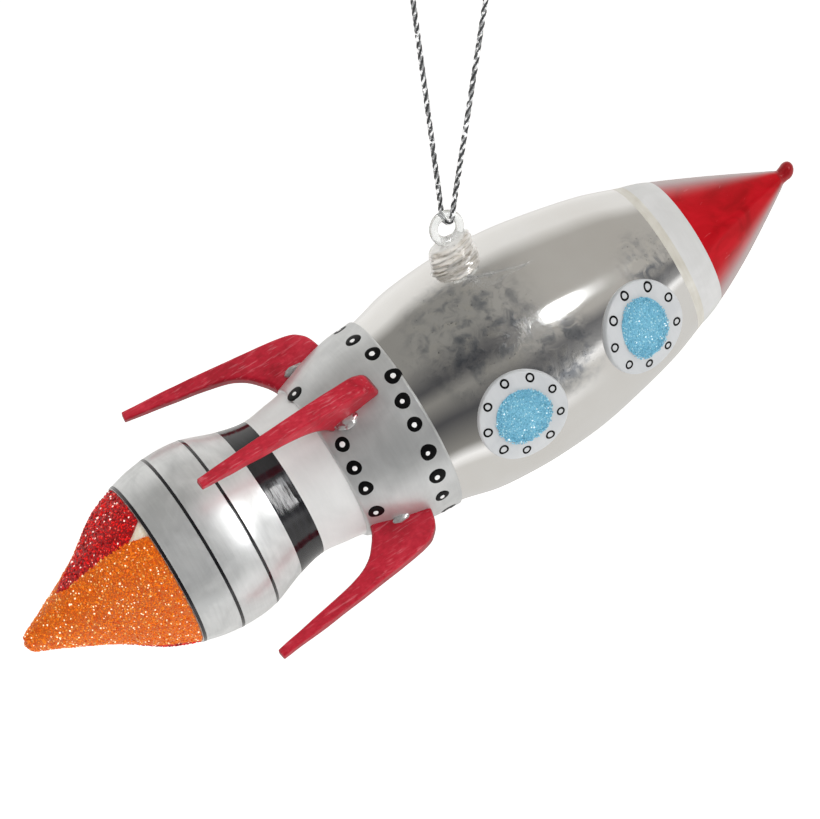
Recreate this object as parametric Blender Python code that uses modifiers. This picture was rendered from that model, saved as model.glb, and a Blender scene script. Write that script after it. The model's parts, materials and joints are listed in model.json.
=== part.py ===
"""A silvered, blown-glass rocket ornament that hangs by a cord from a clear glass ring.

Lengths are metres. The world origin is the flat seat under the crown of the cord, where a hook
or a branch carries it. +X points towards the nose, +Z up, and the rocket hangs below, nose up.
The rocket itself is built in its own frame: local Z is its axis, from the tail tip to the nose,
local X is its back, where the ring stands, and local Y is its right side.
"""

from math import cos, pi, radians, sin, tan

import bmesh
import bpy
from mathutils import Vector

MM = 0.001

# Fits
GAP = 0.3 * MM
SEGMENTS = 32
BEAD_SEGMENTS = 16
BEAD_RINGS = 10

# How it hangs
NOSE_UP = radians(24.4)
SEAT_TO_RING = 62.0 * MM

# Glass envelope: stations along the axis, and the radius of the blown outline at each
FLAME_BASE = 24.8 * MM
BLACK_BAND_AFT = 44.2 * MM
NECK_AFT = 49.1 * MM
COLLAR_AFT = 56.7 * MM
COLLAR_FRONT = 72.8 * MM
NOSE_BAND_AFT = 122.7 * MM
NOSE_AFT = 127.2 * MM
NOSE_END = 146.2 * MM
GLASS_KNOTS = (
    (FLAME_BASE, 14.5 * MM),
    (29.0 * MM, 15.5 * MM),
    (33.9 * MM, 15.9 * MM),
    (38.4 * MM, 15.4 * MM),
    (BLACK_BAND_AFT, 13.4 * MM),
    (NECK_AFT, 12.4 * MM),
    (53.5 * MM, 12.9 * MM),
    (COLLAR_AFT, 13.4 * MM),
    (62.5 * MM, 15.3 * MM),
    (67.8 * MM, 16.5 * MM),
    (COLLAR_FRONT, 16.9 * MM),
    (79.4 * MM, 18.5 * MM),
    (85.0 * MM, 19.1 * MM),
    (91.0 * MM, 19.3 * MM),
    (99.2 * MM, 18.8 * MM),
    (107.5 * MM, 17.4 * MM),
    (115.8 * MM, 15.5 * MM),
    (NOSE_BAND_AFT, 13.1 * MM),
    (NOSE_AFT, 11.5 * MM),
    (134.0 * MM, 8.3 * MM),
    (140.6 * MM, 4.8 * MM),
    (NOSE_END, 1.7 * MM),
)
PROFILE_STEP = 3.2 * MM
TAIL_WALL = 0.62 * MM
HULL_WALL = 1.1 * MM
NOSE_WALL = 1.4 * MM
COLLAR_LIP = 0.45 * MM

# Flame
FLAME_KNOTS = (
    (0.0, 0.0),
    (0.5 * MM, 1.3 * MM),
    (2.0 * MM, 2.2 * MM),
    (5.0 * MM, 3.7 * MM),
    (13.2 * MM, 7.9 * MM),
    (19.8 * MM, 12.4 * MM),
    (FLAME_BASE - GAP, 14.3 * MM),
)
GLITTER_COAT = 0.5 * MM
RED_APEX = 7.0 * MM
RED_HALF_WIDTH = 9.4 * MM

# Nose tip, drawn a little towards the back, and the bead on it
NOSE_BEND = 0.7 * MM
NOSE_BEND_POWER = 1.5
BEAD_RADIUS = 1.4 * MM
BEAD_CENTRE = Vector((1.0 * MM, 0.0, 148.3 * MM))
BEAD_DRAW_POWER = 8

# Fins, four, set by hand: angle round the axis, skew of the plane from it, and shift forward
FINS = {
    "fin_upper_right": (radians(40), radians(3.2), 0.9 * MM),
    "fin_lower_right": (radians(130), 0.0, 0.0),
    "fin_lower_left": (radians(225), 0.0, 0.0),
    "fin_upper_left": (radians(315), 0.0, 0.0),
}
FIN_SKEW_STATION = 52.6 * MM

# Outline of a fin as (radius, station)
FIN_OUTER_KNOTS = (
    (24.9 * MM, 33.8 * MM),
    (23.9 * MM, 44.5 * MM),
    (22.6 * MM, 55.6 * MM),
    (21.5 * MM, 62.8 * MM),
    (20.5 * MM, 65.0 * MM),
    (18.3 * MM, 66.5 * MM),
    (12.0 * MM, 68.0 * MM),
)
FIN_INNER_KNOTS = (
    (12.0 * MM, 57.4 * MM),
    (14.3 * MM, 57.0 * MM),
    (16.6 * MM, 55.6 * MM),
    (18.9 * MM, 53.2 * MM),
    (20.5 * MM, 49.3 * MM),
    (22.3 * MM, 39.7 * MM),
    (23.4 * MM, 33.6 * MM),
)
FIN_TIP_STATION = 34.0 * MM
FIN_ROOT_STATION = 66.0 * MM
FIN_TIP_THICKNESS = 1.7 * MM
FIN_ROOT_THICKNESS = 3.3 * MM
FIN_EDGE = 0.35 * MM

# Glass beads that weld the aft end of each fin's root to the collar
WELD_STATION = 60.6 * MM
WELD_SIZE = Vector((1.3 * MM, 1.5 * MM, 2.4 * MM))
WELD_STAND = 0.45 * MM
WELD_SLAB = 10 * MM

# Portholes, two on each side, that follow the hull's curve: station, and angle round the axis
PORTHOLES = {
    "aft": (86.2 * MM, radians(93)),
    "forward": (110.8 * MM, radians(91)),
}
PORTHOLE_RADIUS = 7.8 * MM
PORTHOLE_SEGMENTS = 36
PORTHOLE_TAPER = 0.25 * MM
PORTHOLE_PROUD = 0.9 * MM
WINDOW_RADIUS = 4.95 * MM
WINDOW_THICKNESS = 0.35 * MM
PUNCH_DEPTH = 10 * MM

# Hanger
STUB_STATION = 91.5 * MM
STUB_RADIUS = 3.75 * MM
STUB_TOP = 23.0 * MM
STUB_WAIST = 3.5 * MM
STUB_SHOULDER = 0.6 * MM
RING_STATION = 92.2 * MM
RING_HEIGHT = 25.3 * MM
RING_RADIUS = 2.3 * MM
RING_TUBE = 0.75 * MM
RING_SEGMENTS = 24

# Cord
CORD_RADIUS = 0.52 * MM
CORD_SIDES = 8
BIGHT_RADIUS = RING_TUBE + CORD_RADIUS + GAP
BIGHT_SHIFT = 0.3 * MM
LEG_START = 2.4 * MM
BACK_LEG_SLOPE = radians(8.3)
FRONT_LEG_SLOPE = radians(9.7)
LEG_STANDOFF = 0.9 * BIGHT_RADIUS
SEAT_HALF_LENGTH = 1.5 * MM
KNOT_HEIGHT = 48.0 * MM
KNOT_RADIUS = 1.6 * MM
KNOT_HALF_LENGTH = 2.0 * MM
KNOT_PINCH = 0.15
KNOT_LOBES = 2
KNOT_SEGMENTS = 12
KNOT_TAILS = Vector((3.0 * MM, 0.0, 4.0 * MM))

parts = bpy.data.collections.new("glass_rocket")
cutters = bpy.data.collections.new("cutters")
materials = {}


def clear_scene():
    for obj in list(bpy.data.objects):
        bpy.data.objects.remove(obj)


def make_material(name, colour, roughness, metallic=0.0, transmission=0.0):
    material = bpy.data.materials.new(name)
    material.use_nodes = True
    shader = material.node_tree.nodes["Principled BSDF"]
    shader.inputs["Base Color"].default_value = (*colour, 1.0)
    shader.inputs["Roughness"].default_value = roughness
    shader.inputs["Metallic"].default_value = metallic
    shader.inputs["Transmission Weight"].default_value = transmission
    materials[name] = material


def make_materials():
    make_material("silvered_glass", (0.80, 0.79, 0.77), 0.08, metallic=1.0)
    make_material("red_lacquer", (0.55, 0.02, 0.04), 0.12, metallic=0.6)
    make_material("white_satin", (0.80, 0.80, 0.79), 0.35)
    make_material("frosted_silver", (0.58, 0.59, 0.60), 0.40, metallic=0.7)
    make_material("black_gloss", (0.01, 0.01, 0.015), 0.08)
    make_material("orange_glitter", (0.90, 0.18, 0.01), 0.45, metallic=0.3)
    make_material("red_glitter", (0.50, 0.01, 0.02), 0.45, metallic=0.3)
    make_material("blue_glitter", (0.20, 0.52, 0.68), 0.45, metallic=0.3)
    make_material("fin_crimson", (0.50, 0.03, 0.07), 0.45)
    make_material("white_paint", (0.70, 0.72, 0.74), 0.40)
    make_material("clear_glass", (0.90, 0.90, 0.88), 0.05, transmission=1.0)
    make_material("silver_cord", (0.45, 0.46, 0.47), 0.30, metallic=0.9)


def add_object(name, data, material, parent=None, collection=parts):
    obj = bpy.data.objects.new(name, data)
    collection.objects.link(obj)
    obj.parent = parent
    if material:
        data.materials.append(materials[material])
    if collection is cutters:
        obj.hide_render = True
        obj.display_type = "WIRE"
    return obj


def as_mesh(obj):
    """Replaces an object by its evaluated, closed mesh, under the same name and in the same place."""
    bpy.context.view_layer.update()
    graph = bpy.context.evaluated_depsgraph_get()
    mesh = bpy.data.meshes.new_from_object(obj.evaluated_get(graph))
    shape = bmesh.new()
    shape.from_mesh(mesh)
    bmesh.ops.remove_doubles(shape, verts=shape.verts, dist=0.000001)
    bmesh.ops.recalc_face_normals(shape, faces=shape.faces)
    shape.to_mesh(mesh)
    shape.free()
    name, parent, collection = obj.name, obj.parent, obj.users_collection[0]
    placed = obj.matrix_basis.copy()
    bpy.data.objects.remove(obj)
    made = add_object(name, mesh, None, parent, collection)
    made.matrix_basis = placed
    return made


def add_pivot(name, parent=None, location=(0.0, 0.0, 0.0)):
    pivot = bpy.data.objects.new(name, None)
    pivot.empty_display_size = 5 * MM
    pivot.location = location
    pivot.parent = parent
    parts.objects.link(pivot)
    return pivot


def blend_at(where, knots):
    """The second value of the knots at `where` in the first, on a smooth curve through them."""
    last = len(knots) - 1
    span = 0
    while span < last - 1 and knots[span + 1][0] < where:
        span += 1

    def slope(index):
        before = knots[max(index - 1, 0)]
        after = knots[min(index + 1, last)]
        return (after[1] - before[1]) / (after[0] - before[0])

    (start, low), (end, high) = knots[span], knots[span + 1]
    length = end - start
    share = (where - start) / length
    near = slope(span) * length
    far = slope(span + 1) * length
    return (
        low * (1 - share) ** 2 * (1 + 2 * share)
        + near * share * (1 - share) ** 2
        + high * share**2 * (3 - 2 * share)
        - far * share**2 * (1 - share)
    )


def glass_radius(station):
    return blend_at(station, GLASS_KNOTS)


def curve_through(knots, steps):
    """Points of a Catmull-Rom curve through 2D knots, `steps` to each span."""
    held = [Vector(knots[0]), *map(Vector, knots), Vector(knots[-1])]
    points = []
    for i in range(1, len(held) - 2):
        before, start, end, after = held[i - 1 : i + 3]
        for step in range(steps):
            t = step / steps
            points.append(
                0.5
                * (
                    2 * start
                    + (end - before) * t
                    + (2 * before - 5 * start + 4 * end - after) * t**2
                    + (3 * start - before - 3 * end + after) * t**3
                )
            )
    points.append(held[-1])
    return points


def screw_object(name, profile, material, parent, collection=parts, segments=SEGMENTS):
    """A profile of (radius, height) pairs turned about local Z. It runs from top to bottom."""
    mesh = bpy.data.meshes.new(name)
    edges = [(i, i + 1) for i in range(len(profile) - 1)]
    mesh.from_pydata([(radius, 0.0, height) for radius, height in profile], edges, [])
    obj = add_object(name, mesh, material, parent, collection)
    screw = obj.modifiers.new("turned", "SCREW")
    screw.axis = "Z"
    screw.steps = segments
    screw.render_steps = segments
    screw.use_merge_vertices = True
    screw.merge_threshold = 0.00001
    screw.use_smooth_shade = True
    return obj


def station_steps(start, end):
    """Evenly spaced stations from the front end to the aft end."""
    count = max(2, round((end - start) / PROFILE_STEP))
    return [end + (start - end) * i / count for i in range(count + 1)]


def glass_section(name, start, end, wall, material, parent):
    """An open-ended shell of the envelope between two stations."""
    profile = [(glass_radius(station), station) for station in station_steps(start, end)]
    obj = screw_object(name, profile, material, parent)
    shell = obj.modifiers.new("wall", "SOLIDIFY")
    shell.thickness = wall
    shell.offset = -1.0
    shell.use_even_offset = True
    return obj


def make_collar(parent):
    """The collar stands a lip proud of the hull in front of it and of the neck behind it."""
    start, end = COLLAR_AFT + GAP / 2, COLLAR_FRONT - GAP / 2
    outer = [(glass_radius(s) + COLLAR_LIP, s) for s in station_steps(start, end)]
    round_front = [(outer[0][0] - COLLAR_LIP, end), (outer[0][0], end - COLLAR_LIP)]
    round_aft = [(outer[-1][0], start + COLLAR_LIP), (outer[-1][0] - COLLAR_LIP, start)]
    profile = round_front + outer[1:-1] + round_aft
    obj = screw_object("riveted_collar", profile, "frosted_silver", parent)
    shell = obj.modifiers.new("wall", "SOLIDIFY")
    shell.thickness = HULL_WALL
    shell.offset = -1.0
    return obj


def make_envelope(parent):
    half = GAP / 2
    sections = (
        ("engine_bulb", FLAME_BASE, BLACK_BAND_AFT, TAIL_WALL, "frosted_silver"),
        ("black_band", BLACK_BAND_AFT, NECK_AFT, TAIL_WALL, "black_gloss"),
        ("neck_shell", NECK_AFT, COLLAR_AFT, TAIL_WALL, "white_satin"),
        ("hull_shell", COLLAR_FRONT, NOSE_BAND_AFT, HULL_WALL, "silvered_glass"),
        ("nose_band", NOSE_BAND_AFT, NOSE_AFT, NOSE_WALL, "white_satin"),
        ("nose_cone", NOSE_AFT, NOSE_END, NOSE_WALL, "red_lacquer"),
    )
    for name, start, end, wall, material in sections:
        glass_section(name, start + half, end - half, wall, material, parent)
    make_collar(parent)


def bend_nose():
    """Draws the nose cone's tip towards the rocket's back."""
    nose = as_mesh(bpy.data.objects["nose_cone"])
    for vertex in nose.data.vertices:
        share = (vertex.co.z - NOSE_AFT) / (NOSE_END - NOSE_AFT)
        vertex.co.x += NOSE_BEND * max(share, 0.0) ** NOSE_BEND_POWER
    nose.data.shade_smooth()
    nose.data.set_sharp_from_angle(angle=radians(40))


def make_nose_bead(parent):
    """The drop of glass that closes the blowing hole, bent a little towards the back."""
    stem = Vector((NOSE_BEND, 0.0, NOSE_END + GAP))
    lean = BEAD_CENTRE - stem
    mesh = bpy.data.meshes.new("nose_tip_bead")
    shape = bmesh.new()
    bmesh.ops.create_uvsphere(
        shape, u_segments=BEAD_SEGMENTS, v_segments=BEAD_RINGS, radius=BEAD_RADIUS
    )
    for vertex in shape.verts:
        below = max(0.0, -vertex.co.z / BEAD_RADIUS)
        pull = below**BEAD_DRAW_POWER
        vertex.co.z -= pull * (lean.length - BEAD_RADIUS)
        vertex.co.x -= pull * lean.x
    shape.to_mesh(mesh)
    shape.free()
    mesh.shade_smooth()
    bead = add_object("nose_tip_bead", mesh, "red_lacquer", parent)
    bead.location = BEAD_CENTRE


def wedge_cutter(name, apex, half_width, side, parent):
    """A triangular wedge across the flame, apex towards the tail tip, on one side of it."""
    depth = 30 * MM
    slope = half_width / (FLAME_BASE - apex)
    beyond = 3 * MM
    reach = FLAME_BASE + beyond
    curve = bpy.data.curves.new(name, "CURVE")
    curve.dimensions = "2D"
    curve.fill_mode = "BOTH"
    curve.extrude = depth / 2
    spline = curve.splines.new("POLY")
    spline.points.add(2)
    half = slope * (reach - apex)
    for point, (across, along) in zip(spline.points, ((0, apex), (half, reach), (-half, reach))):
        point.co = (across, along, 0.0, 1.0)
    spline.use_cyclic_u = True
    outline = add_object(name, curve, None, parent, cutters)
    outline.rotation_euler = (radians(90), 0.0, radians(90))
    outline.location = (side * depth / 2, 0.0, 0.0)
    return as_mesh(outline)


def cut(obj, cutter, operation="DIFFERENCE"):
    boolean = obj.modifiers.new(cutter.name, "BOOLEAN")
    boolean.operation = operation
    boolean.object = cutter
    boolean.solver = "EXACT"


def make_flame(parent):
    """A glass cone with an orange glitter coat, and a red tongue of glitter above and below."""
    outline = [Vector((radius, station)) for station, radius in FLAME_KNOTS]
    surface = [(point.x, point.y) for point in reversed(curve_through(outline, 2))]
    depth = GLITTER_COAT + GAP
    solid_below = 2.5 * depth
    wide = [(radius, height) for radius, height in surface if radius > solid_below]
    core = [(radius - depth, height) for radius, height in wide]
    core_tip = core[-1][1] - 1.2 * MM
    inside = [(radius - TAIL_WALL, height) for radius, height in core if radius > 2 * TAIL_WALL]
    hollow = [(0.0, inside[-1][1] + TAIL_WALL / 2)] + inside[::-1]
    screw_object("flame_cone", hollow + core + [(0.0, core_tip)], "white_satin", parent)
    coat_inside = [(radius - GLITTER_COAT, height) for radius, height in wide]
    coat_profile = [(0.0, core_tip - GAP)] + coat_inside[::-1] + surface
    orange = screw_object("flame_orange_glitter", coat_profile, "orange_glitter", parent)
    for side, place in ((1, "top"), (-1, "bottom")):
        red_name = f"flame_red_glitter_{place}"
        red = screw_object(red_name, coat_profile, "red_glitter", parent)
        narrow = RED_HALF_WIDTH - GAP
        inner_wedge = wedge_cutter(f"red_wedge_{place}", RED_APEX + GAP, narrow, side, parent)
        cut(red, inner_wedge, "INTERSECT")
        outer_wedge = wedge_cutter(f"orange_wedge_{place}", RED_APEX, RED_HALF_WIDTH, side, parent)
        cut(orange, outer_wedge)


def hull_cutter(name, extra, parent):
    """A solid of the collar and hull, larger all round, that cuts the pieces standing on them."""
    start, end = BLACK_BAND_AFT, NOSE_AFT
    profile = [(0.0, end)]
    for station in station_steps(start, end):
        lip = COLLAR_LIP if COLLAR_AFT <= station <= COLLAR_FRONT else 0.0
        profile.append((glass_radius(station) + lip + extra, station))
    profile.append((0.0, start))
    return screw_object(name, profile, None, parent, cutters)


def fin_thickness(station):
    share = (station - FIN_TIP_STATION) / (FIN_ROOT_STATION - FIN_TIP_STATION)
    share = min(max(share, 0.0), 1.0)
    return FIN_TIP_THICKNESS + share * (FIN_ROOT_THICKNESS - FIN_TIP_THICKNESS)


def make_fins(clearance, parent):
    """Swept-back fins, thin at the tip, whose roots follow the collar."""
    outline = curve_through(FIN_OUTER_KNOTS, 3) + curve_through(FIN_INNER_KNOTS, 3)
    for name, (angle, skew, forward) in FINS.items():
        curve = bpy.data.curves.new(name, "CURVE")
        curve.dimensions = "2D"
        curve.fill_mode = "BOTH"
        curve.extrude = 0.5  # one unit thick, so each point is scaled to its own thickness below
        spline = curve.splines.new("POLY")
        spline.points.add(len(outline) - 1)
        for point, place in zip(spline.points, outline):
            point.co = (*place, 0.0, 1.0)
        spline.use_cyclic_u = True
        fin = as_mesh(add_object(name, curve, None, parent))
        for vertex in fin.data.vertices:
            vertex.co.z *= fin_thickness(vertex.co.y)
        fin.data.materials.append(materials["fin_crimson"])
        fin.rotation_euler = (radians(90) + skew, 0.0, angle)
        skew_centre = Vector((0.0, FIN_SKEW_STATION, 0.0))
        turned = fin.rotation_euler.to_matrix() @ skew_centre
        fin.location = Vector((0.0, 0.0, FIN_SKEW_STATION + forward)) - turned
        cut(fin, clearance)
        bevel = fin.modifiers.new("rounded_edge", "BEVEL")
        bevel.width = FIN_EDGE
        bevel.segments = 2
        bevel.limit_method = "ANGLE"
        bevel.angle_limit = radians(50)


def weld_slab(name, parent):
    """A block that keeps a weld bead clear of its fin: its face stands one gap off the fin's."""
    mesh = bpy.data.meshes.new(name)
    shape = bmesh.new()
    bmesh.ops.create_cube(shape, size=WELD_SLAB)
    shape.to_mesh(mesh)
    shape.free()
    return add_object(name, mesh, None, parent, cutters)


def make_fin_welds(clearance, parent):
    """A bead of glass in the corner between each fin and the collar."""
    beside = FIN_ROOT_THICKNESS / 2 + GAP
    for name, (angle, skew, forward) in FINS.items():
        radial = Vector((cos(angle), sin(angle), 0.0))
        across = Vector((-sin(angle), cos(angle), 0.0))
        drift = (FIN_SKEW_STATION + forward - WELD_STATION) * sin(skew)
        root = radial * (glass_radius(WELD_STATION) + COLLAR_LIP) + across * drift
        root.z = WELD_STATION
        slab = weld_slab(f"{name}_slab", parent)
        slab.rotation_euler = (skew, 0.0, angle)
        slab.location = root + across * (beside - WELD_SLAB / 2)
        mesh = bpy.data.meshes.new(f"{name}_weld")
        shape = bmesh.new()
        bmesh.ops.create_uvsphere(
            shape, u_segments=BEAD_SEGMENTS, v_segments=BEAD_RINGS, radius=1.0
        )
        bmesh.ops.scale(shape, vec=WELD_SIZE, verts=shape.verts)
        shape.to_mesh(mesh)
        shape.free()
        mesh.shade_smooth()
        weld = add_object(f"{name}_weld", mesh, "clear_glass", parent)
        weld.rotation_euler = (0.0, 0.0, angle)
        weld.location = root + across * beside + radial * WELD_STAND
        cut(weld, clearance)
        cut(weld, slab)


def hull_patch(name, radius, taper, place, side, material, parent):
    """A round plug that stands through the hull's flank, square to it, ready to be cut to a patch."""
    station, angle = PORTHOLES[place]
    nudge = 0.5 * MM
    slope = (glass_radius(station + nudge) - glass_radius(station - nudge)) / (2 * nudge)
    spread = taper * PUNCH_DEPTH / (2 * PORTHOLE_PROUD)
    radial = Vector((cos(angle), side * sin(angle), 0.0))
    outward = (radial - slope * Vector((0.0, 0.0, 1.0))).normalized()
    mesh = bpy.data.meshes.new(name)
    shape = bmesh.new()
    bmesh.ops.create_cone(
        shape,
        cap_ends=True,
        segments=PORTHOLE_SEGMENTS,
        radius1=radius + spread,
        radius2=radius - spread,
        depth=PUNCH_DEPTH,
    )
    shape.to_mesh(mesh)
    shape.free()
    mesh.shade_smooth()
    mesh.set_sharp_from_angle(angle=radians(30))
    patch = add_object(name, mesh, material, parent)
    patch.rotation_euler = Vector((0.0, 0.0, 1.0)).rotation_difference(outward).to_euler()
    patch.location = radial * glass_radius(station)
    patch.location.z = station
    return patch


def make_portholes(clearance, parent):
    """Raised white discs on the hull's flanks, each with a round blue glitter window."""
    window_floor = PORTHOLE_PROUD + GAP
    disc_skin = hull_cutter("disc_skin", PORTHOLE_PROUD, parent)
    window_bed = hull_cutter("window_bed", window_floor, parent)
    window_skin = hull_cutter("window_skin", window_floor + WINDOW_THICKNESS, parent)
    for place in PORTHOLES:
        for side_name, side in (("right", 1), ("left", -1)):
            where = f"{place}_{side_name}"
            disc = hull_patch(
                f"porthole_{where}",
                PORTHOLE_RADIUS,
                PORTHOLE_TAPER,
                place,
                side,
                "white_paint",
                parent,
            )
            cut(disc, disc_skin, "INTERSECT")
            cut(disc, clearance)
            window = hull_patch(
                f"window_{where}", WINDOW_RADIUS, 0.0, place, side, "blue_glitter", parent
            )
            cut(window, window_skin, "INTERSECT")
            cut(window, window_bed)


def add_torus(name, tube, material, parent, collection=parts):
    """A ring of the hanger's size about local Z, with the given tube radius."""
    curve = bpy.data.curves.new(name, "CURVE")
    curve.dimensions = "3D"
    curve.bevel_depth = tube
    curve.bevel_resolution = 2
    spline = curve.splines.new("POLY")
    spline.points.add(RING_SEGMENTS - 1)
    for i, point in enumerate(spline.points):
        turn = 2 * pi * i / RING_SEGMENTS
        point.co = (RING_RADIUS * cos(turn), RING_RADIUS * sin(turn), 0.0, 1.0)
    spline.use_cyclic_u = True
    ring = as_mesh(add_object(name, curve, None, parent, collection))
    ring.rotation_euler = (radians(90), 0.0, 0.0)
    ring.location = (RING_HEIGHT, 0.0, RING_STATION)
    ring.data.shade_smooth()
    if material:
        ring.data.materials.append(materials[material])
    return ring


def make_hanger(clearance, parent):
    """A lump of clear glass melted onto the hull, and the ring fused into its top."""
    base = glass_radius(STUB_STATION) - 4 * MM
    profile = (
        (0.0, STUB_TOP),
        (STUB_RADIUS - 2 * STUB_SHOULDER, STUB_TOP),
        (STUB_RADIUS - STUB_SHOULDER / 2, STUB_TOP - STUB_SHOULDER),
        (STUB_RADIUS, STUB_TOP - 2 * STUB_SHOULDER),
        (STUB_WAIST, STUB_TOP - 2 * MM),
        (STUB_RADIUS, STUB_TOP - 3.2 * MM),
        (STUB_RADIUS, base),
        (0.0, base),
    )
    stub = screw_object("hanger_stub", profile, "clear_glass", parent)
    stub.rotation_euler = (0.0, radians(90), 0.0)
    stub.location = (0.0, 0.0, STUB_STATION)
    cut(stub, clearance)
    groove = add_torus("ring_groove", RING_TUBE + GAP, None, parent, cutters)
    cut(stub, groove)
    add_torus("hanger_ring", RING_TUBE, "clear_glass", parent)


def cord_piece(name, points, across, parent, collection=parts):
    """Round cord with closed ends, as flats. `across` lies near enough square to all of its path."""
    mesh = bpy.data.meshes.new(name)
    shape = bmesh.new()
    rings = []
    for i, place in enumerate(points):
        before = (place - points[max(i - 1, 0)]).normalized()
        after = (points[min(i + 1, len(points) - 1)] - place).normalized()
        along = (before + after).normalized()
        mitre = 1 / max(along.dot(before), along.dot(after))
        side = (across - along * across.dot(along)).normalized()
        up = side.cross(along) * mitre
        turns = [2 * pi * (corner + 0.5) / CORD_SIDES for corner in range(CORD_SIDES)]
        offsets = [(side * cos(turn) + up * sin(turn)) * CORD_RADIUS for turn in turns]
        rings.append([shape.verts.new(place + offset) for offset in offsets])
    for near, far in zip(rings, rings[1:]):
        for corner in range(CORD_SIDES):
            after = (corner + 1) % CORD_SIDES
            shape.faces.new((near[corner], near[after], far[after], far[corner]))
    shape.faces.new(rings[0])
    shape.faces.new(rings[-1])
    bmesh.ops.recalc_face_normals(shape, faces=shape.faces)
    shape.to_mesh(mesh)
    shape.free()
    return add_object(name, mesh, "silver_cord", parent, collection)


def loop_side(side, slope, crown):
    """One side of the hanging loop, from the end of its level crown down to the ring."""
    rise = SEAT_TO_RING + crown
    flat = SEAT_HALF_LENGTH
    spread = flat - BIGHT_SHIFT
    bend = (rise * sin(slope) - spread * cos(slope)) / (1 + sin(slope))
    centre_height = rise - bend
    places = []
    steps = 10
    for i in range(steps + 1):
        turn = pi / 2 - (pi / 2 + slope) * i / steps
        places.append((flat + bend * cos(turn), centre_height + bend * sin(turn)))
    places.append((BIGHT_SHIFT + LEG_START * tan(slope), LEG_START))
    points = []
    for across, height in places:
        behind = side * LEG_STANDOFF * (1 - height / rise)
        points.append(Vector((-side * across, behind, height - SEAT_TO_RING)))
    return points


def make_cord(hook_seat, side_pivot):
    """The loop goes behind the ring on the left of it, and comes out in front on the right."""
    crown = CORD_RADIUS * cos(pi / CORD_SIDES)
    back = loop_side(1, BACK_LEG_SLOPE, crown)
    front = loop_side(-1, FRONT_LEG_SLOPE, crown)
    shoulder, foot = front[-2], front[-1]
    along = (foot - shoulder).normalized()
    drop = (shoulder.z - (KNOT_HEIGHT - SEAT_TO_RING)) / -along.z
    knot_place = shoulder + along * drop
    clear = KNOT_HALF_LENGTH + GAP
    over_crown = back[::-1] + front[:-1] + [knot_place - along * clear]
    level = Vector((0.0, 1.0, 0.0))
    cord_piece("cord_crown_length", over_crown, level, hook_seat)
    cord_piece("cord_front_length", [knot_place + along * clear, foot], level, hook_seat)
    make_knot(knot_place, along, hook_seat)
    steps = 12
    arc = []
    for i in range(steps + 1):
        turn = pi * i / steps
        place = (-BIGHT_SHIFT * cos(turn), BIGHT_RADIUS * cos(turn), -BIGHT_RADIUS * sin(turn))
        arc.append(Vector(place))
    cord_piece("cord_bight", arc, Vector((1.0, 0.0, 0.0)), side_pivot)


def make_knot(place, along, parent):
    """The knot that joins the cord's ends, with its two tails lying together."""
    profile = []
    for i in range(KNOT_SEGMENTS + 1):
        turn = pi * i / KNOT_SEGMENTS
        pinch = 1 - KNOT_PINCH * (1 + cos(2 * KNOT_LOBES * turn)) / 2
        profile.append((KNOT_RADIUS * sin(turn) * pinch, KNOT_HALF_LENGTH * cos(turn)))
    knot = screw_object("cord_knot", profile, "silver_cord", parent, segments=KNOT_SEGMENTS)
    knot.location = place
    knot.rotation_euler = Vector((0.0, 0.0, -1.0)).rotation_difference(along).to_euler()
    start = Vector((KNOT_RADIUS / 3, 0.0, 0.0))
    tip = Vector((KNOT_RADIUS, 0.0, 0.0)) + KNOT_TAILS
    tail = cord_piece("cord_tail", [start, tip], Vector((0.0, 1.0, 0.0)), knot, cutters)
    cut(knot, tail, "UNION")


def main():
    clear_scene()
    bpy.context.scene.collection.children.link(parts)
    bpy.context.scene.collection.children.link(cutters)
    make_materials()
    hook_seat = add_pivot("hook_seat")
    side_pivot = add_pivot("side_swing_pivot", hook_seat, (0.0, 0.0, -SEAT_TO_RING))
    tilt_pivot = add_pivot("fore_aft_pivot", side_pivot, (0.0, 0.0, -RING_RADIUS))
    rocket = add_pivot("rocket_frame", tilt_pivot)
    rocket.rotation_euler = (0.0, NOSE_UP - pi / 2, pi)
    ring_centre = Vector((RING_HEIGHT, 0.0, RING_STATION))
    rocket.location = -(rocket.rotation_euler.to_matrix() @ ring_centre)
    clearance = hull_cutter("glass_clearance", GAP, rocket)
    make_envelope(rocket)
    bend_nose()
    make_nose_bead(rocket)
    make_flame(rocket)
    make_fins(clearance, rocket)
    make_fin_welds(clearance, rocket)
    make_portholes(clearance, rocket)
    make_hanger(clearance, rocket)
    make_cord(hook_seat, side_pivot)


main()
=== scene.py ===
"""Looks of the hanging glass rocket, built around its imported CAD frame.

Lengths are metres. The rocket's pieces are made in its own frame, the same as in the CAD: local Z
is its axis from the tail tip to the nose, local X its back, where the ring stands, and local Y its
right side. Angles round the axis start at the back and turn towards the right side.
"""

import json
from math import asin, atan2, cos, pi, radians, sin, sqrt, tan
from random import Random

import bpy
from mathutils import Matrix, Vector, noise


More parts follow.
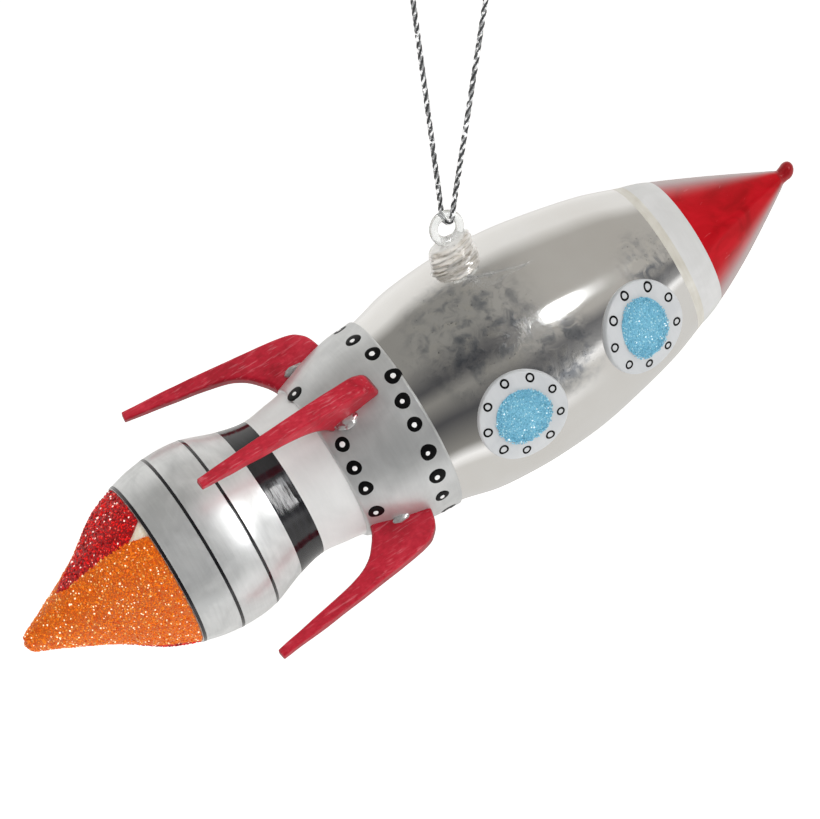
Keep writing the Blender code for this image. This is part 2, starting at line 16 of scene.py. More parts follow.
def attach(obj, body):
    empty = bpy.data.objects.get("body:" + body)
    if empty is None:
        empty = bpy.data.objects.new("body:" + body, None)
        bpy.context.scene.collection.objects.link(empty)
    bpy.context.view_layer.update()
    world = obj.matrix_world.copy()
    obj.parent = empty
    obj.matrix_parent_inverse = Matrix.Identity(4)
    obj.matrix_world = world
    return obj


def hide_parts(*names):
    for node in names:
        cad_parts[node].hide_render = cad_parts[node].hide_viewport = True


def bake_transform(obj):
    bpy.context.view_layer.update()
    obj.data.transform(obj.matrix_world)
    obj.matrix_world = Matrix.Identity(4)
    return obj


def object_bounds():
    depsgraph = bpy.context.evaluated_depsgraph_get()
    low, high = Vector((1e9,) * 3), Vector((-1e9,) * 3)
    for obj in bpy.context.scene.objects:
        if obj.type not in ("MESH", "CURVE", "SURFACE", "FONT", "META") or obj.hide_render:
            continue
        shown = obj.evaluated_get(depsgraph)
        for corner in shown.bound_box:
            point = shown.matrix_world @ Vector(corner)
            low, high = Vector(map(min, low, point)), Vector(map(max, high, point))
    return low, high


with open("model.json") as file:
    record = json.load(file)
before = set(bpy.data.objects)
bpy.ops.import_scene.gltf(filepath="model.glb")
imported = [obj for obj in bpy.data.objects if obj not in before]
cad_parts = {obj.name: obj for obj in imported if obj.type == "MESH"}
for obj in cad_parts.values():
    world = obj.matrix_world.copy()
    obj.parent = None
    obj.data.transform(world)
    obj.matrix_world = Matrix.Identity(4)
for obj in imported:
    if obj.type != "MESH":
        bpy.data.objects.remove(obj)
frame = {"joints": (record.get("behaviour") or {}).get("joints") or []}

MM = 0.001
cad_low, cad_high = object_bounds()
joints = {joint["name"]: joint for joint in frame["joints"]}
materials = {}

# How the rocket hangs in the frame: its tilt, and where its ring's centre is on it
NOSE_UP = radians(24.4)
RING_STATION = 92.2 * MM
RING_HEIGHT = 25.3 * MM
RING_CENTRE = Vector(joints["fore_aft_tilt"]["pos_m"])
SWING_PIVOT = Vector(joints["side_swing"]["pos_m"])
AXIS = Vector((cos(NOSE_UP), 0.0, sin(NOSE_UP)))
BACK = Vector((-sin(NOSE_UP), 0.0, cos(NOSE_UP)))
RIGHT = Vector((0.0, -1.0, 0.0))
TAIL = RING_CENTRE - AXIS * RING_STATION - BACK * RING_HEIGHT
ROCKET = Matrix.Translation(TAIL) @ Matrix((BACK, RIGHT, AXIS)).transposed().to_4x4()

# Blown outline, as stations along the axis and the radius at each, and where its bands meet
FLAME_BASE = 24.8 * MM
BLACK_AFT = 44.2 * MM
NECK_AFT = 49.1 * MM
COLLAR_AFT = 56.7 * MM
COLLAR_FRONT = 72.8 * MM
CREAM_AFT = 121.1 * MM
NOSE_BAND_AFT = 122.7 * MM
NOSE_AFT = 127.2 * MM
GLASS_KNOTS = (
    (24.8, 14.5), (29.0, 15.5), (33.9, 15.9), (38.4, 15.4), (44.2, 13.4), (49.1, 12.4),
    (53.5, 12.9), (56.7, 13.4), (62.5, 15.3), (67.8, 16.5), (72.8, 16.9), (79.4, 18.5),
    (85.0, 19.1), (91.0, 19.3), (99.2, 18.8), (107.5, 17.4), (115.8, 15.5), (122.7, 13.1),
    (127.2, 11.5), (134.0, 8.3), (140.6, 4.8), (146.2, 1.7),
)
FLAME_KNOTS = (
    (0.0, 0.0), (0.5, 1.2), (2.0, 2.1), (5.0, 3.5), (13.2, 7.7), (19.8, 12.2), (24.8, 14.3),
)
WALL = 0.9 * MM
ROUND = 224
STEP = 0.5 * MM
SHARP_ANGLE = radians(42)

# How fine the unevenness is, as noise waves to a metre, and how many millimetres deep it is
BLOWN_WAVES = 70
FIN_WAVES = 260
FIN_UNEVEN = 0.07
LUMP_WAVES = 420
LUMP_UNEVEN = 0.12

# Raised paint and the collar's rolled edges
COLLAR_LIP = 0.45 * MM
LINE_STATIONS = (25.1 * MM, 31.6 * MM, 38.4 * MM)
LINE_WIDTH = 0.54 * MM
PAINT_DEPTH = 0.04 * MM

# Nose tip: it leans towards the back and ends in a drop of glass
CONE_END = 146.2 * MM
CONE_END_RADIUS = 1.36 * MM
TIP_NECK = 147.0 * MM
TIP_NECK_RADIUS = 1.22 * MM
BEAD_STATION = 148.35 * MM
BEAD_RADIUS = 1.4 * MM
NOSE_LEAN = 1.0 * MM

# Where the silvering is worn: station, angle round the axis, and reach of the full and faded wear
WORN_PATCHES = (
    (86.0 * MM, radians(42), 5.0 * MM, 14.0 * MM),
    (97.0 * MM, radians(76), 2.0 * MM, 9.0 * MM),
    (117.0 * MM, radians(58), 1.0 * MM, 7.0 * MM),
    (92.0 * MM, radians(250), 5.0 * MM, 13.0 * MM),
    (112.0 * MM, radians(310), 2.0 * MM, 8.0 * MM),
)

# Glitter
RED_KNOTS = ((8.4, 0.0), (9.6, 12.0), (11.5, 18.0), (14.1, 23.5), (18.4, 32.0), (21.3, 35.5), (24.8, 27.5))
ORANGE_KNOTS = (*RED_KNOTS[:-1], (24.8, 41.5))
LOWER_SPREAD = radians(5)
GLITTER_DEPTH = 0.4 * MM
GRAIN_PITCH = 0.30 * MM
GRAIN_RADIUS = 0.20 * MM
GRAIN_TILT = 0.7
BIG_GRAIN = 1.6
BIG_GRAIN_FROM = 0.96
RED_COARSENESS = 1.25

# Fins: angle round the axis, skew of the plane from it, shift forward, and how stout it is
FINS = {
    "upper_right": (radians(40), radians(3.2), 1.2 * MM, 1.2),
    "lower_right": (radians(130), 0.0, 0.0, 1.0),
    "lower_left": (radians(225), 0.0, 0.0, 1.0),
    "upper_left": (radians(315), 0.0, 0.0, 1.0),
}
FIN_SKEW_STATION = 52.6 * MM
FIN_OUTER = (
    (24.9, 33.8), (23.9, 44.5), (22.6, 55.6), (21.5, 62.8), (20.3, 65.3), (18.0, 66.7), (12.0, 68.0),
)
FIN_INNER = (
    (23.4, 33.6), (22.3, 39.7), (20.5, 49.3), (18.9, 53.2), (16.6, 55.6), (14.3, 57.0), (12.0, 57.4),
)
FIN_TIP_STATION = 34.0 * MM
FIN_ROOT_STATION = 66.0 * MM
FIN_TIP_THICKNESS = 1.7 * MM
FIN_ROOT_THICKNESS = 3.3 * MM
FIN_TIP_EDGE = 0.35 * MM
FIN_ROOT_EDGE = 0.9 * MM
WELD_STATION = 61.4 * MM

# Rivets painted on the collar, as (angle in degrees, station in millimetres)
FRONT_RIVETS = (
    (3, 70.1), (21, 71.0), (39.5, 71.4), (54, 70.5), (68, 70.2), (85.5, 70.0), (102, 69.7), (118.5, 69.3),
)
AFT_RIVETS = ((2.5, 57.7), (56.5, 58.9), (73, 58.6), (89, 58.7), (110.5, 58.7))
HIDDEN_FRONT = (143, 339, 11, 70.2)
HIDDEN_AFT = ((149, 206, 4, 58.8), (241, 296, 4, 58.8))
RIVET_RADIUS = 1.45 * MM
RIVET_DOT = 0.46 * MM

# Portholes: station and angle round the axis
PORTHOLES = {"aft": (86.2 * MM, radians(93)), "forward": (110.8 * MM, radians(91))}
PORTHOLE_RADIUS = 7.8 * MM
PORTHOLE_PROUD = 0.9 * MM
PORTHOLE_SHOULDER = 0.35 * MM
WINDOW_RADIUS = 4.95 * MM
WINDOW_STRETCH = {"aft": 1.0, "forward": 0.91}
BOLT_CIRCLE = 6.3 * MM
BOLT_COUNT = 9
BOLT_START = radians(25)
BOLT_RADIUS = 0.62 * MM
BOLT_LINE = 0.17 * MM
HAND_SHIFT = (-0.30 * MM, -0.10 * MM)

# Hanger
STUB_STATION = 91.5 * MM
STUB_HALF_LENGTH = 3.9 * MM
STUB_HALF_WIDTH = 2.5 * MM
STUB_FLARE = 1.7 * MM
STUB_TOP = 23.0 * MM
RING_RADIUS = 2.3 * MM
RING_TUBE = 0.75 * MM

# Cord
CORD_RADIUS = 0.52 * MM
BIGHT_RADIUS = 1.57 * MM
BIGHT_GRIP = 0.25 * MM
BIGHT_SHIFT = 0.3 * MM
BACK_LEG_SLOPE = radians(8.3)
FRONT_LEG_SLOPE = radians(9.7)
LEG_STANDOFF = 0.9 * BIGHT_RADIUS
CROWN_HALF = 1.5 * MM
STRANDS = 4
STRAND_RADIUS = 0.22 * MM
STRAND_OFFSET = 0.25 * MM
STRAND_PITCH = 3.8 * MM
STRAND_SIDES = 8
KNOT_HEIGHT = 48.0 * MM
KNOT_TURNS = 2.6
KNOT_RADIUS = 1.02 * MM
KNOT_LENGTH = 2.9 * MM
KNOT_TAILS = ((0.35, 5.2 * MM), (0.75, 4.2 * MM))

# Without a seed of its own, Blender's vector noise would be drawn anew from the clock on each run
NOISE_SEED = 7

# Camera, in degrees and metres
AZIMUTH = radians(-22.7)
ELEVATION = radians(22.3)
DISTANCE = 0.841
FIELD = radians(9.1)
AIM_STATION = 73.7 * MM

# The soft box the glass mirrors: up from the camera and half that angle, ahead of it and half that
# (as sines), and its brightness
SOFT_BOX_UP = radians(8)
SOFT_BOX_HALF_HEIGHT = radians(8)
SOFT_BOX_AHEAD = 0.45
SOFT_BOX_HALF_WIDTH = 0.09
SOFT_BOX_LIGHT = (4.5, 4.6, 4.7)

# The pieces that a second, longer lamp lights: the silvered hull and the nose are not among them
STREAK_LIT = (
    "black_band_glass", "engine_bulb_glass", "hanger_lump", "hanger_ring_glass",
    *(f"fin_{name}_glue" for name in FINS),
)


# --- Node materials ---------------------------------------------------------------------------


class Nodes:
    """A node tree, and short calls for building it."""

    def node(self, kind, inputs=None, **settings):
        made = self.tree.nodes.new(kind)
        for key, value in settings.items():
            setattr(made, key, value)
        for key, value in (inputs or {}).items():
            self.feed(made.inputs[key], value)
        return made

    def feed(self, socket, value):
        if isinstance(value, bpy.types.NodeSocket):
            self.tree.links.new(value, socket)
        elif isinstance(value, tuple) and len(value) == 3 and socket.type == "RGBA":
            socket.default_value = (*value, 1.0)
        else:
            socket.default_value = value

    def span(self, value, low, high, start=0.0, end=1.0, kind="SMOOTHSTEP"):
        """The value mapped from low..high to start..end."""
        inputs = {"Value": value, "From Min": low, "From Max": high, "To Min": start, "To Max": end}
        return self.node("ShaderNodeMapRange", inputs, interpolation_type=kind).outputs["Result"]

    def math(self, operation, first, second):
        return self.node("ShaderNodeMath", {0: first, 1: second}, operation=operation).outputs["Value"]

    def times(self, first, second):
        return self.math("MULTIPLY", first, second)

    def plus(self, first, second):
        return self.math("ADD", first, second)

    def mix(self, share, first, second):
        inputs = {"Factor": share, 6: first, 7: second}
        return self.node("ShaderNodeMix", inputs, data_type="RGBA").outputs[2]

    def ramp(self, value, *stops, constant=False):
        made = self.node("ShaderNodeValToRGB")
        colours = made.color_ramp
        colours.interpolation = "CONSTANT" if constant else "LINEAR"
        while len(colours.elements) < len(stops):
            colours.elements.new(0.5)
        for element, (place, colour) in zip(colours.elements, stops):
            element.position = place
            element.color = (*colour, 1.0)
        self.feed(made.inputs["Fac"], value)
        return made.outputs["Color"]


class Paint(Nodes):
    """A material in the rocket's frame, and what feeds its Principled shader."""

    def __init__(self, name):
        self.material = bpy.data.materials.new(name)
        self.material.use_nodes = True
        self.tree = self.material.node_tree
        self.shader = self.tree.nodes["Principled BSDF"]
        where = self.node("ShaderNodeTexCoord").outputs["Object"]
        inputs = {"Vector": where, "Location": ROCKET.to_translation(), "Rotation": ROCKET.to_euler()}
        self.place = self.node("ShaderNodeMapping", inputs, vector_type="TEXTURE").outputs["Vector"]
        materials[name] = self.material

    def set(self, **inputs):
        for key, value in inputs.items():
            self.feed(self.shader.inputs[key.replace("_", " ")], value)

    def roughness(self, pattern, low, high):
        """Roughness that follows a noise pattern between two values."""
        self.set(Roughness=self.span(pattern, 0.3, 0.7, low, high))

    def noise(self, size, detail=4.0, stretch=(1.0, 1.0, 1.0), warp=0.0):
        """Noise whose lumps are about `size` metres across, longer where stretch is above 1."""
        scale = [1 / (size * share) for share in stretch]
        mapping = self.node("ShaderNodeMapping", {"Vector": self.place, "Scale": scale})
        inputs = {"Vector": mapping.outputs["Vector"], "Scale": 1.0, "Detail": detail, "Distortion": warp}
        return self.node("ShaderNodeTexNoise", inputs).outputs["Fac"]

    def facing(self):
        """0 where the surface faces the eye, rising to 1 at its outline."""
        return self.node("ShaderNodeLayerWeight").outputs["Facing"]

    def near(self, centre, inner, reach):
        """1 within `inner` of a point in the rocket's frame, falling to 0 at `reach`."""
        away = self.node("ShaderNodeVectorMath", {0: self.place, 1: centre}, operation="DISTANCE")
        return self.span(away.outputs["Value"], inner, reach, 1.0, 0.0)

    def bump(self, height, depth, over=None):
        """A normal from a height of 0 to 1, with its full depth in metres."""
        made = self.node("ShaderNodeBump", {"Strength": 1.0, "Distance": depth, "Height": height})
        if over:
            self.feed(made.inputs["Normal"], over)
        return made.outputs["Normal"]


def silvered_glass():
    """Mirror silver inside clear glass: smooth, with a few worn patches of tarnish and crackle."""
    paint = Paint("silvered_glass")
    waves = paint.bump(paint.noise(9 * MM, 1.0), 0.05 * MM)
    worn = 0.0
    for station, angle, inner, reach in WORN_PATCHES:
        centre = at(station, angle, glass_radius(station))
        worn = paint.math("MAXIMUM", worn, paint.near(centre, inner, reach))
    ragged = paint.span(paint.noise(2.6 * MM, 6.0, warp=0.8), 0.36, 0.60)
    worn = paint.times(worn, ragged)
    crackle = paint.noise(0.7 * MM, 5.0, warp=0.4)
    drag = paint.noise(0.3 * MM, 2.0, stretch=(10.0, 10.0, 1.0))
    rough = paint.times(paint.plus(crackle, paint.times(drag, 0.5)), worn)
    normal = paint.bump(rough, 0.016 * MM, waves)
    clean = paint.ramp(paint.noise(12 * MM, 3.0), (0.35, (0.90, 0.885, 0.86)), (0.70, (0.95, 0.945, 0.93)))
    tarnish = paint.ramp(
        paint.noise(3.0 * MM, 5.0, warp=0.3),
        (0.36, (0.20, 0.23, 0.28)), (0.47, (0.46, 0.48, 0.51)), (0.60, (0.92, 0.90, 0.85)),
    )
    specks = paint.span(paint.noise(0.4 * MM, 5.0), 0.64, 0.70)
    dark = paint.times(specks, worn)
    colour = paint.mix(paint.times(worn, 0.85), clean, tarnish)
    paint.set(Base_Color=paint.mix(dark, colour, (0.12, 0.12, 0.13)), Metallic=1.0, Normal=normal)
    paint.set(Roughness=paint.span(worn, 0.0, 1.0, 0.10, 0.20))
    paint.set(Coat_Weight=0.3, Coat_Roughness=0.03)


def red_lacquer():
    """Deep red lacquer over silver, with a painted reflection: towards the outline the red fades to a pale
    pinkish grey.
    """
    paint = Paint("red_lacquer")
    bead = paint.near((NOSE_LEAN, 0.0, BEAD_STATION), 1.9 * MM, 2.8 * MM)
    # Painted reflection: this mask grows towards the outline, where the white room would be mirrored; the
    # bead is left out.
    edge = paint.span(paint.facing(), 0.35, 0.76)
    edge = paint.times(edge, paint.span(bead, 0.0, 1.0, 1.0, 0.0))
    cloud = paint.noise(4 * MM, 4.0, stretch=(1.0, 1.0, 2.0), warp=0.8)
    red = paint.ramp(
        cloud, (0.32, (0.40, 0.001, 0.005)), (0.50, (0.53, 0.002, 0.009)), (0.72, (0.62, 0.004, 0.014))
    )
    scratches = paint.noise(0.5 * MM, 4.0, stretch=(1.0, 3.0, 6.0), warp=0.5)
    marks = paint.times(paint.span(scratches, 0.66, 0.76), 0.18)
    red = paint.mix(marks, red, (0.80, 0.30, 0.32))
    red = paint.mix(bead, red, (0.36, 0.002, 0.008))
    # The pale painted reflection is mixed over the red here, towards the outline.
    paint.set(Base_Color=paint.mix(edge, red, (0.50, 0.40, 0.40)), Metallic=0.15)
    paint.roughness(paint.noise(1.2 * MM), 0.30, 0.38)
    paint.set(Specular_IOR_Level=paint.span(bead, 0.0, 1.0, 0.14, 0.3))
    paint.set(Normal=paint.bump(paint.noise(3 * MM, 3.0), 0.05 * MM))
    paint.set(Coat_Weight=paint.span(bead, 0.0, 1.0, 0.16, 0.6), Coat_Roughness=0.03)


def satin_paint(name, low, high, roughness, metallic, grain_depth):
    """Sprayed paint with faint clouds, a fine grain and faint drag marks round the axis."""
    paint = Paint(name)
    cloud = paint.noise(6 * MM, 5.0, warp=0.6)
    streaks = paint.noise(0.5 * MM, 3.0, stretch=(9.0, 9.0, 1.0))
    both = paint.plus(paint.times(cloud, 0.8), paint.times(streaks, 0.2))
    paint.set(Base_Color=paint.ramp(both, (0.36, low), (0.64, high)), Metallic=metallic)
    paint.roughness(paint.noise(1.0 * MM), roughness - 0.05, roughness + 0.05)
    paint.set(Normal=paint.bump(paint.noise(0.5 * MM, 1.0), grain_depth))


def satin_paints():
    satin_paint("frosted_silver", (0.62, 0.63, 0.63), (0.83, 0.84, 0.84), 0.35, 0.66, 0.003 * MM)
    satin_paint("collar_silver", (0.62, 0.63, 0.63), (0.76, 0.77, 0.77), 0.38, 0.66, 0.006 * MM)
    satin_paint("white_satin", (0.65, 0.65, 0.645), (0.73, 0.73, 0.73), 0.34, 0.0, 0.005 * MM)
    satin_paint("neck_white", (0.74, 0.745, 0.74), (0.81, 0.815, 0.81), 0.40, 0.0, 0.004 * MM)
    satin_paint("cream_paint", (0.62, 0.59, 0.52), (0.80, 0.785, 0.73), 0.38, 0.1, 0.012 * MM)
    satin_paint("disc_white", (0.58, 0.60, 0.62), (0.66, 0.675, 0.69), 0.40, 0.0, 0.006 * MM)
    satin_paint("dot_white", (0.88, 0.88, 0.88), (0.96, 0.96, 0.96), 0.35, 0.0, 0.004 * MM)


def black_enamel():
    """Glossy black on silver, with brush drag that streaks what it reflects."""
    paint = Paint("black_enamel")
    drag = paint.noise(0.6 * MM, 4.0, stretch=(7.0, 7.0, 1.0), warp=0.2)
    paint.set(Base_Color=paint.ramp(drag, (0.3, (0.003, 0.003, 0.004)), (0.8, (0.012, 0.012, 0.016))))
    paint.roughness(drag, 0.08, 0.20)
    paint.set(IOR=1.66)
    paint.set(Normal=paint.bump(drag, 0.05 * MM))


def black_paint():
    """Black drawn on with a brush: flatter, with soft ridges."""
    paint = Paint("black_paint")
    ridges = paint.noise(0.25 * MM, 3.0)
    paint.set(Base_Color=paint.ramp(ridges, (0.3, (0.001, 0.001, 0.001)), (0.8, (0.004, 0.004, 0.005))))
    paint.roughness(ridges, 0.32, 0.44)
    paint.set(Specular_IOR_Level=0.16)
    paint.set(Normal=paint.bump(ridges, 0.01 * MM))


def glitter(name, shares, colours, painted_spark, painted_glow):
    """Foil grains: each takes one colour, by its share of the grains; all glow faintly as painted light,
    and the last ones glow brighter as painted glints.
    """
    paint = Paint(name)
    grain = paint.node("ShaderNodeNewGeometry").outputs["Random Per Island"]
    colour = paint.ramp(grain, *zip(shares, (*colours, painted_spark)), constant=True)
    # Painted light: the last share of grains take the pale spark colour and glow as painted glints.
    painted_flash = paint.span(grain, shares[-1], shares[-1] + 0.005)
    flake = paint.noise(0.08 * MM, 2.0)
    paint.set(Base_Color=colour, Emission_Color=colour, Specular_IOR_Level=0.3)
    # Painted light: every grain glows a little in its own colour, and the painted glints more.
    paint.set(Emission_Strength=paint.plus(paint.times(painted_flash, 0.5), painted_glow))
    paint.roughness(flake, 0.30, 0.42)
    paint.set(Normal=paint.bump(flake, 0.008 * MM))


def glitters():
    # In each call the last colour is that of the painted glints, and the last number the painted glow.
    orange = ((0.72, 0.10, 0.002), (0.94, 0.19, 0.004), (1.0, 0.27, 0.010), (1.0, 0.55, 0.15))
    glitter("orange_grains", (0.0, 0.20, 0.60, 0.88, 0.95), orange, (1.0, 0.86, 0.58), 0.08)
    red = ((0.24, 0.0, 0.002), (0.62, 0.004, 0.006), (0.92, 0.012, 0.012), (1.0, 0.12, 0.09))
    glitter("red_grains", (0.0, 0.26, 0.60, 0.91, 0.965), red, (1.0, 0.72, 0.66), 0.12)
    blue = ((0.15, 0.44, 0.60), (0.21, 0.55, 0.73), (0.28, 0.63, 0.79), (0.48, 0.78, 0.87))
    glitter("blue_grains", (0.0, 0.25, 0.60, 0.86, 0.988), blue, (0.86, 0.96, 0.98), 0.03)


def glue_coat(name, low, high):
    """Lumpy coloured glue that the grains sit in."""
    paint = Paint(name)
    lumps = paint.noise(0.35 * MM, 4.0)
    paint.set(Base_Color=paint.ramp(lumps, (0.35, low), (0.7, high)), Roughness=0.45)
    paint.set(Normal=paint.bump(lumps, 0.05 * MM))


def glue_coats():
    glue_coat("orange_glue", (0.64, 0.10, 0.002), (0.84, 0.20, 0.008))
    glue_coat("red_glue", (0.24, 0.001, 0.003), (0.60, 0.004, 0.008))
    glue_coat("blue_glue", (0.17, 0.48, 0.66), (0.26, 0.60, 0.78))
    glue_coat("bare_gold", (0.90, 0.78, 0.58), (0.98, 0.94, 0.86))


def fin_crimson():
    """Crimson glass paint with a fine grain, pale streaks of painted sheen, and painted shade darkening it
    towards its outline.
    """
    paint = Paint("fin_crimson")
    grain = paint.noise(0.45 * MM, 6.0, stretch=(1.0, 1.0, 1.6))
    cloud = paint.noise(4.0 * MM, 4.0, warp=0.7)
    mixed = paint.plus(paint.times(grain, 0.35), paint.times(cloud, 0.65))
    red = paint.ramp(
        mixed, (0.30, (0.34, 0.004, 0.015)), (0.50, (0.52, 0.010, 0.030)), (0.70, (0.66, 0.030, 0.058))
    )
    # Painted highlight: pale streaks along the fin stand for sheen and are mixed over the red.
    painted_sheen = paint.span(paint.noise(0.4 * MM, 4.0, stretch=(1.0, 1.0, 7.0), warp=0.2), 0.54, 0.74)
    pale = paint.mix(paint.times(painted_sheen, 0.26), red, (0.86, 0.40, 0.44))
    # Painted shade: the red darkens towards the outline, where the fin turns away from the eye.
    edge = paint.span(paint.facing(), 0.55, 0.92)
    paint.set(Base_Color=paint.mix(edge, pale, (0.20, 0.002, 0.010)))
    paint.roughness(grain, 0.31, 0.46)
    paint.set(Specular_IOR_Level=0.3)
    paint.set(Normal=paint.bump(grain, 0.014 * MM))


def clear_glass():
    """Clear drawn glass, wound in threads, with dark specks in it."""
    paint = Paint("clear_glass")
    threads = paint.noise(0.6 * MM, 5.0, stretch=(0.8, 5.0, 5.0), warp=0.5)
    specks = paint.span(paint.noise(0.45 * MM, 4.0, stretch=(0.6, 2.0, 2.0)), 0.58, 0.70)
    warm = paint.ramp(
        threads, (0.36, (0.34, 0.31, 0.27)), (0.44, (0.74, 0.70, 0.64)), (0.60, (0.94, 0.92, 0.89))
    )
    paint.set(Base_Color=paint.mix(paint.times(specks, 0.7), warm, (0.16, 0.15, 0.13)))
    paint.roughness(threads, 0.04, 0.16)
    paint.set(IOR=1.5)
    paint.set(Transmission_Weight=0.60, Normal=paint.bump(threads, 0.11 * MM))


def ring_glass():
    """The ring's clear glass, smoother and cleaner than the lump under it, with painted shade darkening it
    towards its outline.
    """
    paint = Paint("ring_glass")
    ripple = paint.noise(1.1 * MM, 3.0)
    # Painted shade: the colour darkens from near white to dark grey towards the ring's outline.
    rim = paint.span(paint.facing(), 0.55, 0.95)
    paint.set(Base_Color=paint.mix(rim, (0.90, 0.91, 0.90), (0.22, 0.23, 0.22)))
    paint.roughness(ripple, 0.03, 0.10)
    paint.set(Transmission_Weight=0.8, IOR=1.5, Normal=paint.bump(ripple, 0.05 * MM))


def weld_glass():
    """Glass glue that takes the colour of the silver round it, smeared red in places."""
    paint = Paint("weld_glass")
    ripple = paint.noise(0.9 * MM, 3.0, warp=0.8)
    smear = paint.span(paint.noise(1.3 * MM, 3.0), 0.54, 0.64)
    paint.set(Base_Color=paint.mix(smear, (0.56, 0.555, 0.55), (0.38, 0.10, 0.12)), Metallic=0.6)
    paint.set(Roughness=0.18, Normal=paint.bump(ripple, 0.05 * MM), Coat_Weight=0.6)


def cord_foil(name, dark, light, painted_glint_share):
    """A strand of foil-wrapped yarn: fine lay marks, and painted glints spaced along it that turn near
    white and glow.
    """
    paint = Paint(name)
    lay = paint.noise(0.14 * MM, 3.0)
    # Painted highlight: spots along the strand turn near white and glow, as painted glints.
    painted_glint = paint.span(paint.noise(0.8 * MM, 2.0), 0.62 - painted_glint_share, 0.66 - painted_glint_share)
    colour = paint.ramp(lay, (0.40, dark), (0.60, light))
    paint.set(Base_Color=paint.mix(painted_glint, colour, (0.98, 0.99, 1.0)), Metallic=0.35)
    paint.set(Emission_Color=(1.0, 1.0, 1.0), Emission_Strength=paint.times(painted_glint, 0.35))
    paint.roughness(lay, 0.30, 0.42)
    paint.set(Normal=paint.bump(lay, 0.06 * MM))


def make_materials():
    silvered_glass()
    red_lacquer()
    satin_paints()
    black_enamel()
    black_paint()
    glitters()
    glue_coats()
    fin_crimson()
    clear_glass()
    ring_glass()
    weld_glass()
    cord_foil("foil_silver", (0.22, 0.23, 0.24), (0.78, 0.79, 0.80), 0.12)
    cord_foil("foil_charcoal", (0.012, 0.013, 0.015), (0.16, 0.165, 0.17), 0.0)


# --- Shapes ------------------------------------------------------------------------------------


def curve_at(where, knots):
    """The smooth curve through knots given in millimetres or degrees, at `where` in their units."""
    last = len(knots) - 1
    span = 0
    while span < last - 1 and knots[span + 1][0] < where:
        span += 1

    def slope(index):
        before = knots[max(index - 1, 0)]
        after = knots[min(index + 1, last)]
        return (after[1] - before[1]) / (after[0] - before[0])

    (start, low), (end, high) = knots[span], knots[span + 1]
    length = end - start
    share = min(max((where - start) / length, 0.0), 1.0)
    return (
        low * (1 - share) ** 2 * (1 + 2 * share)
        + slope(span) * length * share * (1 - share) ** 2
        + high * share**2 * (3 - 2 * share)
        - slope(span + 1) * length * share**2 * (1 - share)
    )


def glass_radius(station):
    return curve_at(station / MM, GLASS_KNOTS) * MM


def flame_radius(station):
    return curve_at(station / MM, FLAME_KNOTS) * MM


def collar_radius(station):
    return glass_radius(station) + COLLAR_LIP


def tongue_angle(station, knots=RED_KNOTS):
    """Half the angle of the red tongue, or of the gap in the orange for it, in radians."""
    if station <= knots[0][0] * MM:
        return 0.0
    return radians(curve_at(station / MM, knots))


def at(station, angle, radius):
    return Vector((radius * cos(angle), radius * sin(angle), station))


def steps_between(start, end, step=STEP):
    count = max(1, round(abs(end - start) / step))
    return [start + (end - start) * i / count for i in range(count + 1)]


def add_piece(name, points, faces, surfaces, slot, *nodes, ride="rocket", which=None, smooth=True):
    """A mesh piece in place of the nodes named, its points in the rocket's frame if it rides there.

    `which` gives the index of each face's surface, where there are two.
    """
    if ride == "rocket":
        points = [ROCKET @ point for point in points]
    mesh = bpy.data.meshes.new(name)
    mesh.from_pydata([tuple(point) for point in points], [], faces)
    for surface in surfaces:
        mesh.materials.append(materials[surface])
    if len(surfaces) > 1:
        for polygon, index in zip(mesh.polygons, which):
            polygon.material_index = index
    mesh.validate()
    if smooth:
        mesh.shade_smooth()
        mesh.set_sharp_from_angle(angle=SHARP_ANGLE)
    piece = bpy.data.objects.new(name, mesh)
    bpy.context.scene.collection.objects.link(piece)
    if ride:
        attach(piece, ride)
    if nodes:
        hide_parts(*nodes)
    return piece


def skin(rings, loop=False):
    """Faces over a row of rings with equal point counts; a ring of one point is a pole."""
    points = [point for ring in rings for point in ring]
    starts = [0]
    for ring in rings:
        starts.append(starts[-1] + len(ring))
    faces = []
    pairs = list(range(len(rings) - 1)) + ([len(rings) - 1] if loop else [])
    for i in pairs:
        j = (i + 1) % len(rings)
        near, far = len(rings[i]), len(rings[j])
        around = max(near, far)
        for k in range(around):
            after = (k + 1) % around
            corners = [starts[i] + k % near, starts[i] + after % near]
            corners += [starts[j] + after % far, starts[j] + k % far]
            faces.append(tuple(dict.fromkeys(corners)))
    return points, faces


def cap(faces, ring_start, count, flip=False):
    corners = list(range(ring_start, ring_start + count))
    faces.append(tuple(reversed(corners)) if flip else tuple(corners))


def merge(points, faces, made, over):
    """Add a shape's points and faces to those of a piece."""
    shift = len(points)
    points.extend(made)
    faces.extend(tuple(i + shift for i in face) for face in over)


def even_turns(count):
    """The angles of points spaced evenly round a circle."""
    return [2 * pi * k / count for k in range(count)]


def turned(profile, count=ROUND, wobble=0.0, lean=None):
    """Rings of a profile of (radius, station) turned about the axis; wobble is a blown unevenness."""
    rings = []
    for radius, station in profile:
        if radius < 1e-7:
            rings.append([Vector((lean(station) if lean else 0.0, 0.0, station))])
            continue
        ring = []
        for turn in even_turns(count):
            point = at(station, turn, radius)
            if wobble:
                point.xy *= 1 + wobble / radius * noise.noise(point * BLOWN_WAVES)
            if lean:
                point.x += lean(station)
            ring.append(point)
        rings.append(ring)
    return rings


def circle(centre, first, second, radius, count):
    """Points round a centre, starting along the first direction and turning towards the second."""
    return [centre + (first * cos(turn) + second * sin(turn)) * radius for turn in even_turns(count)]


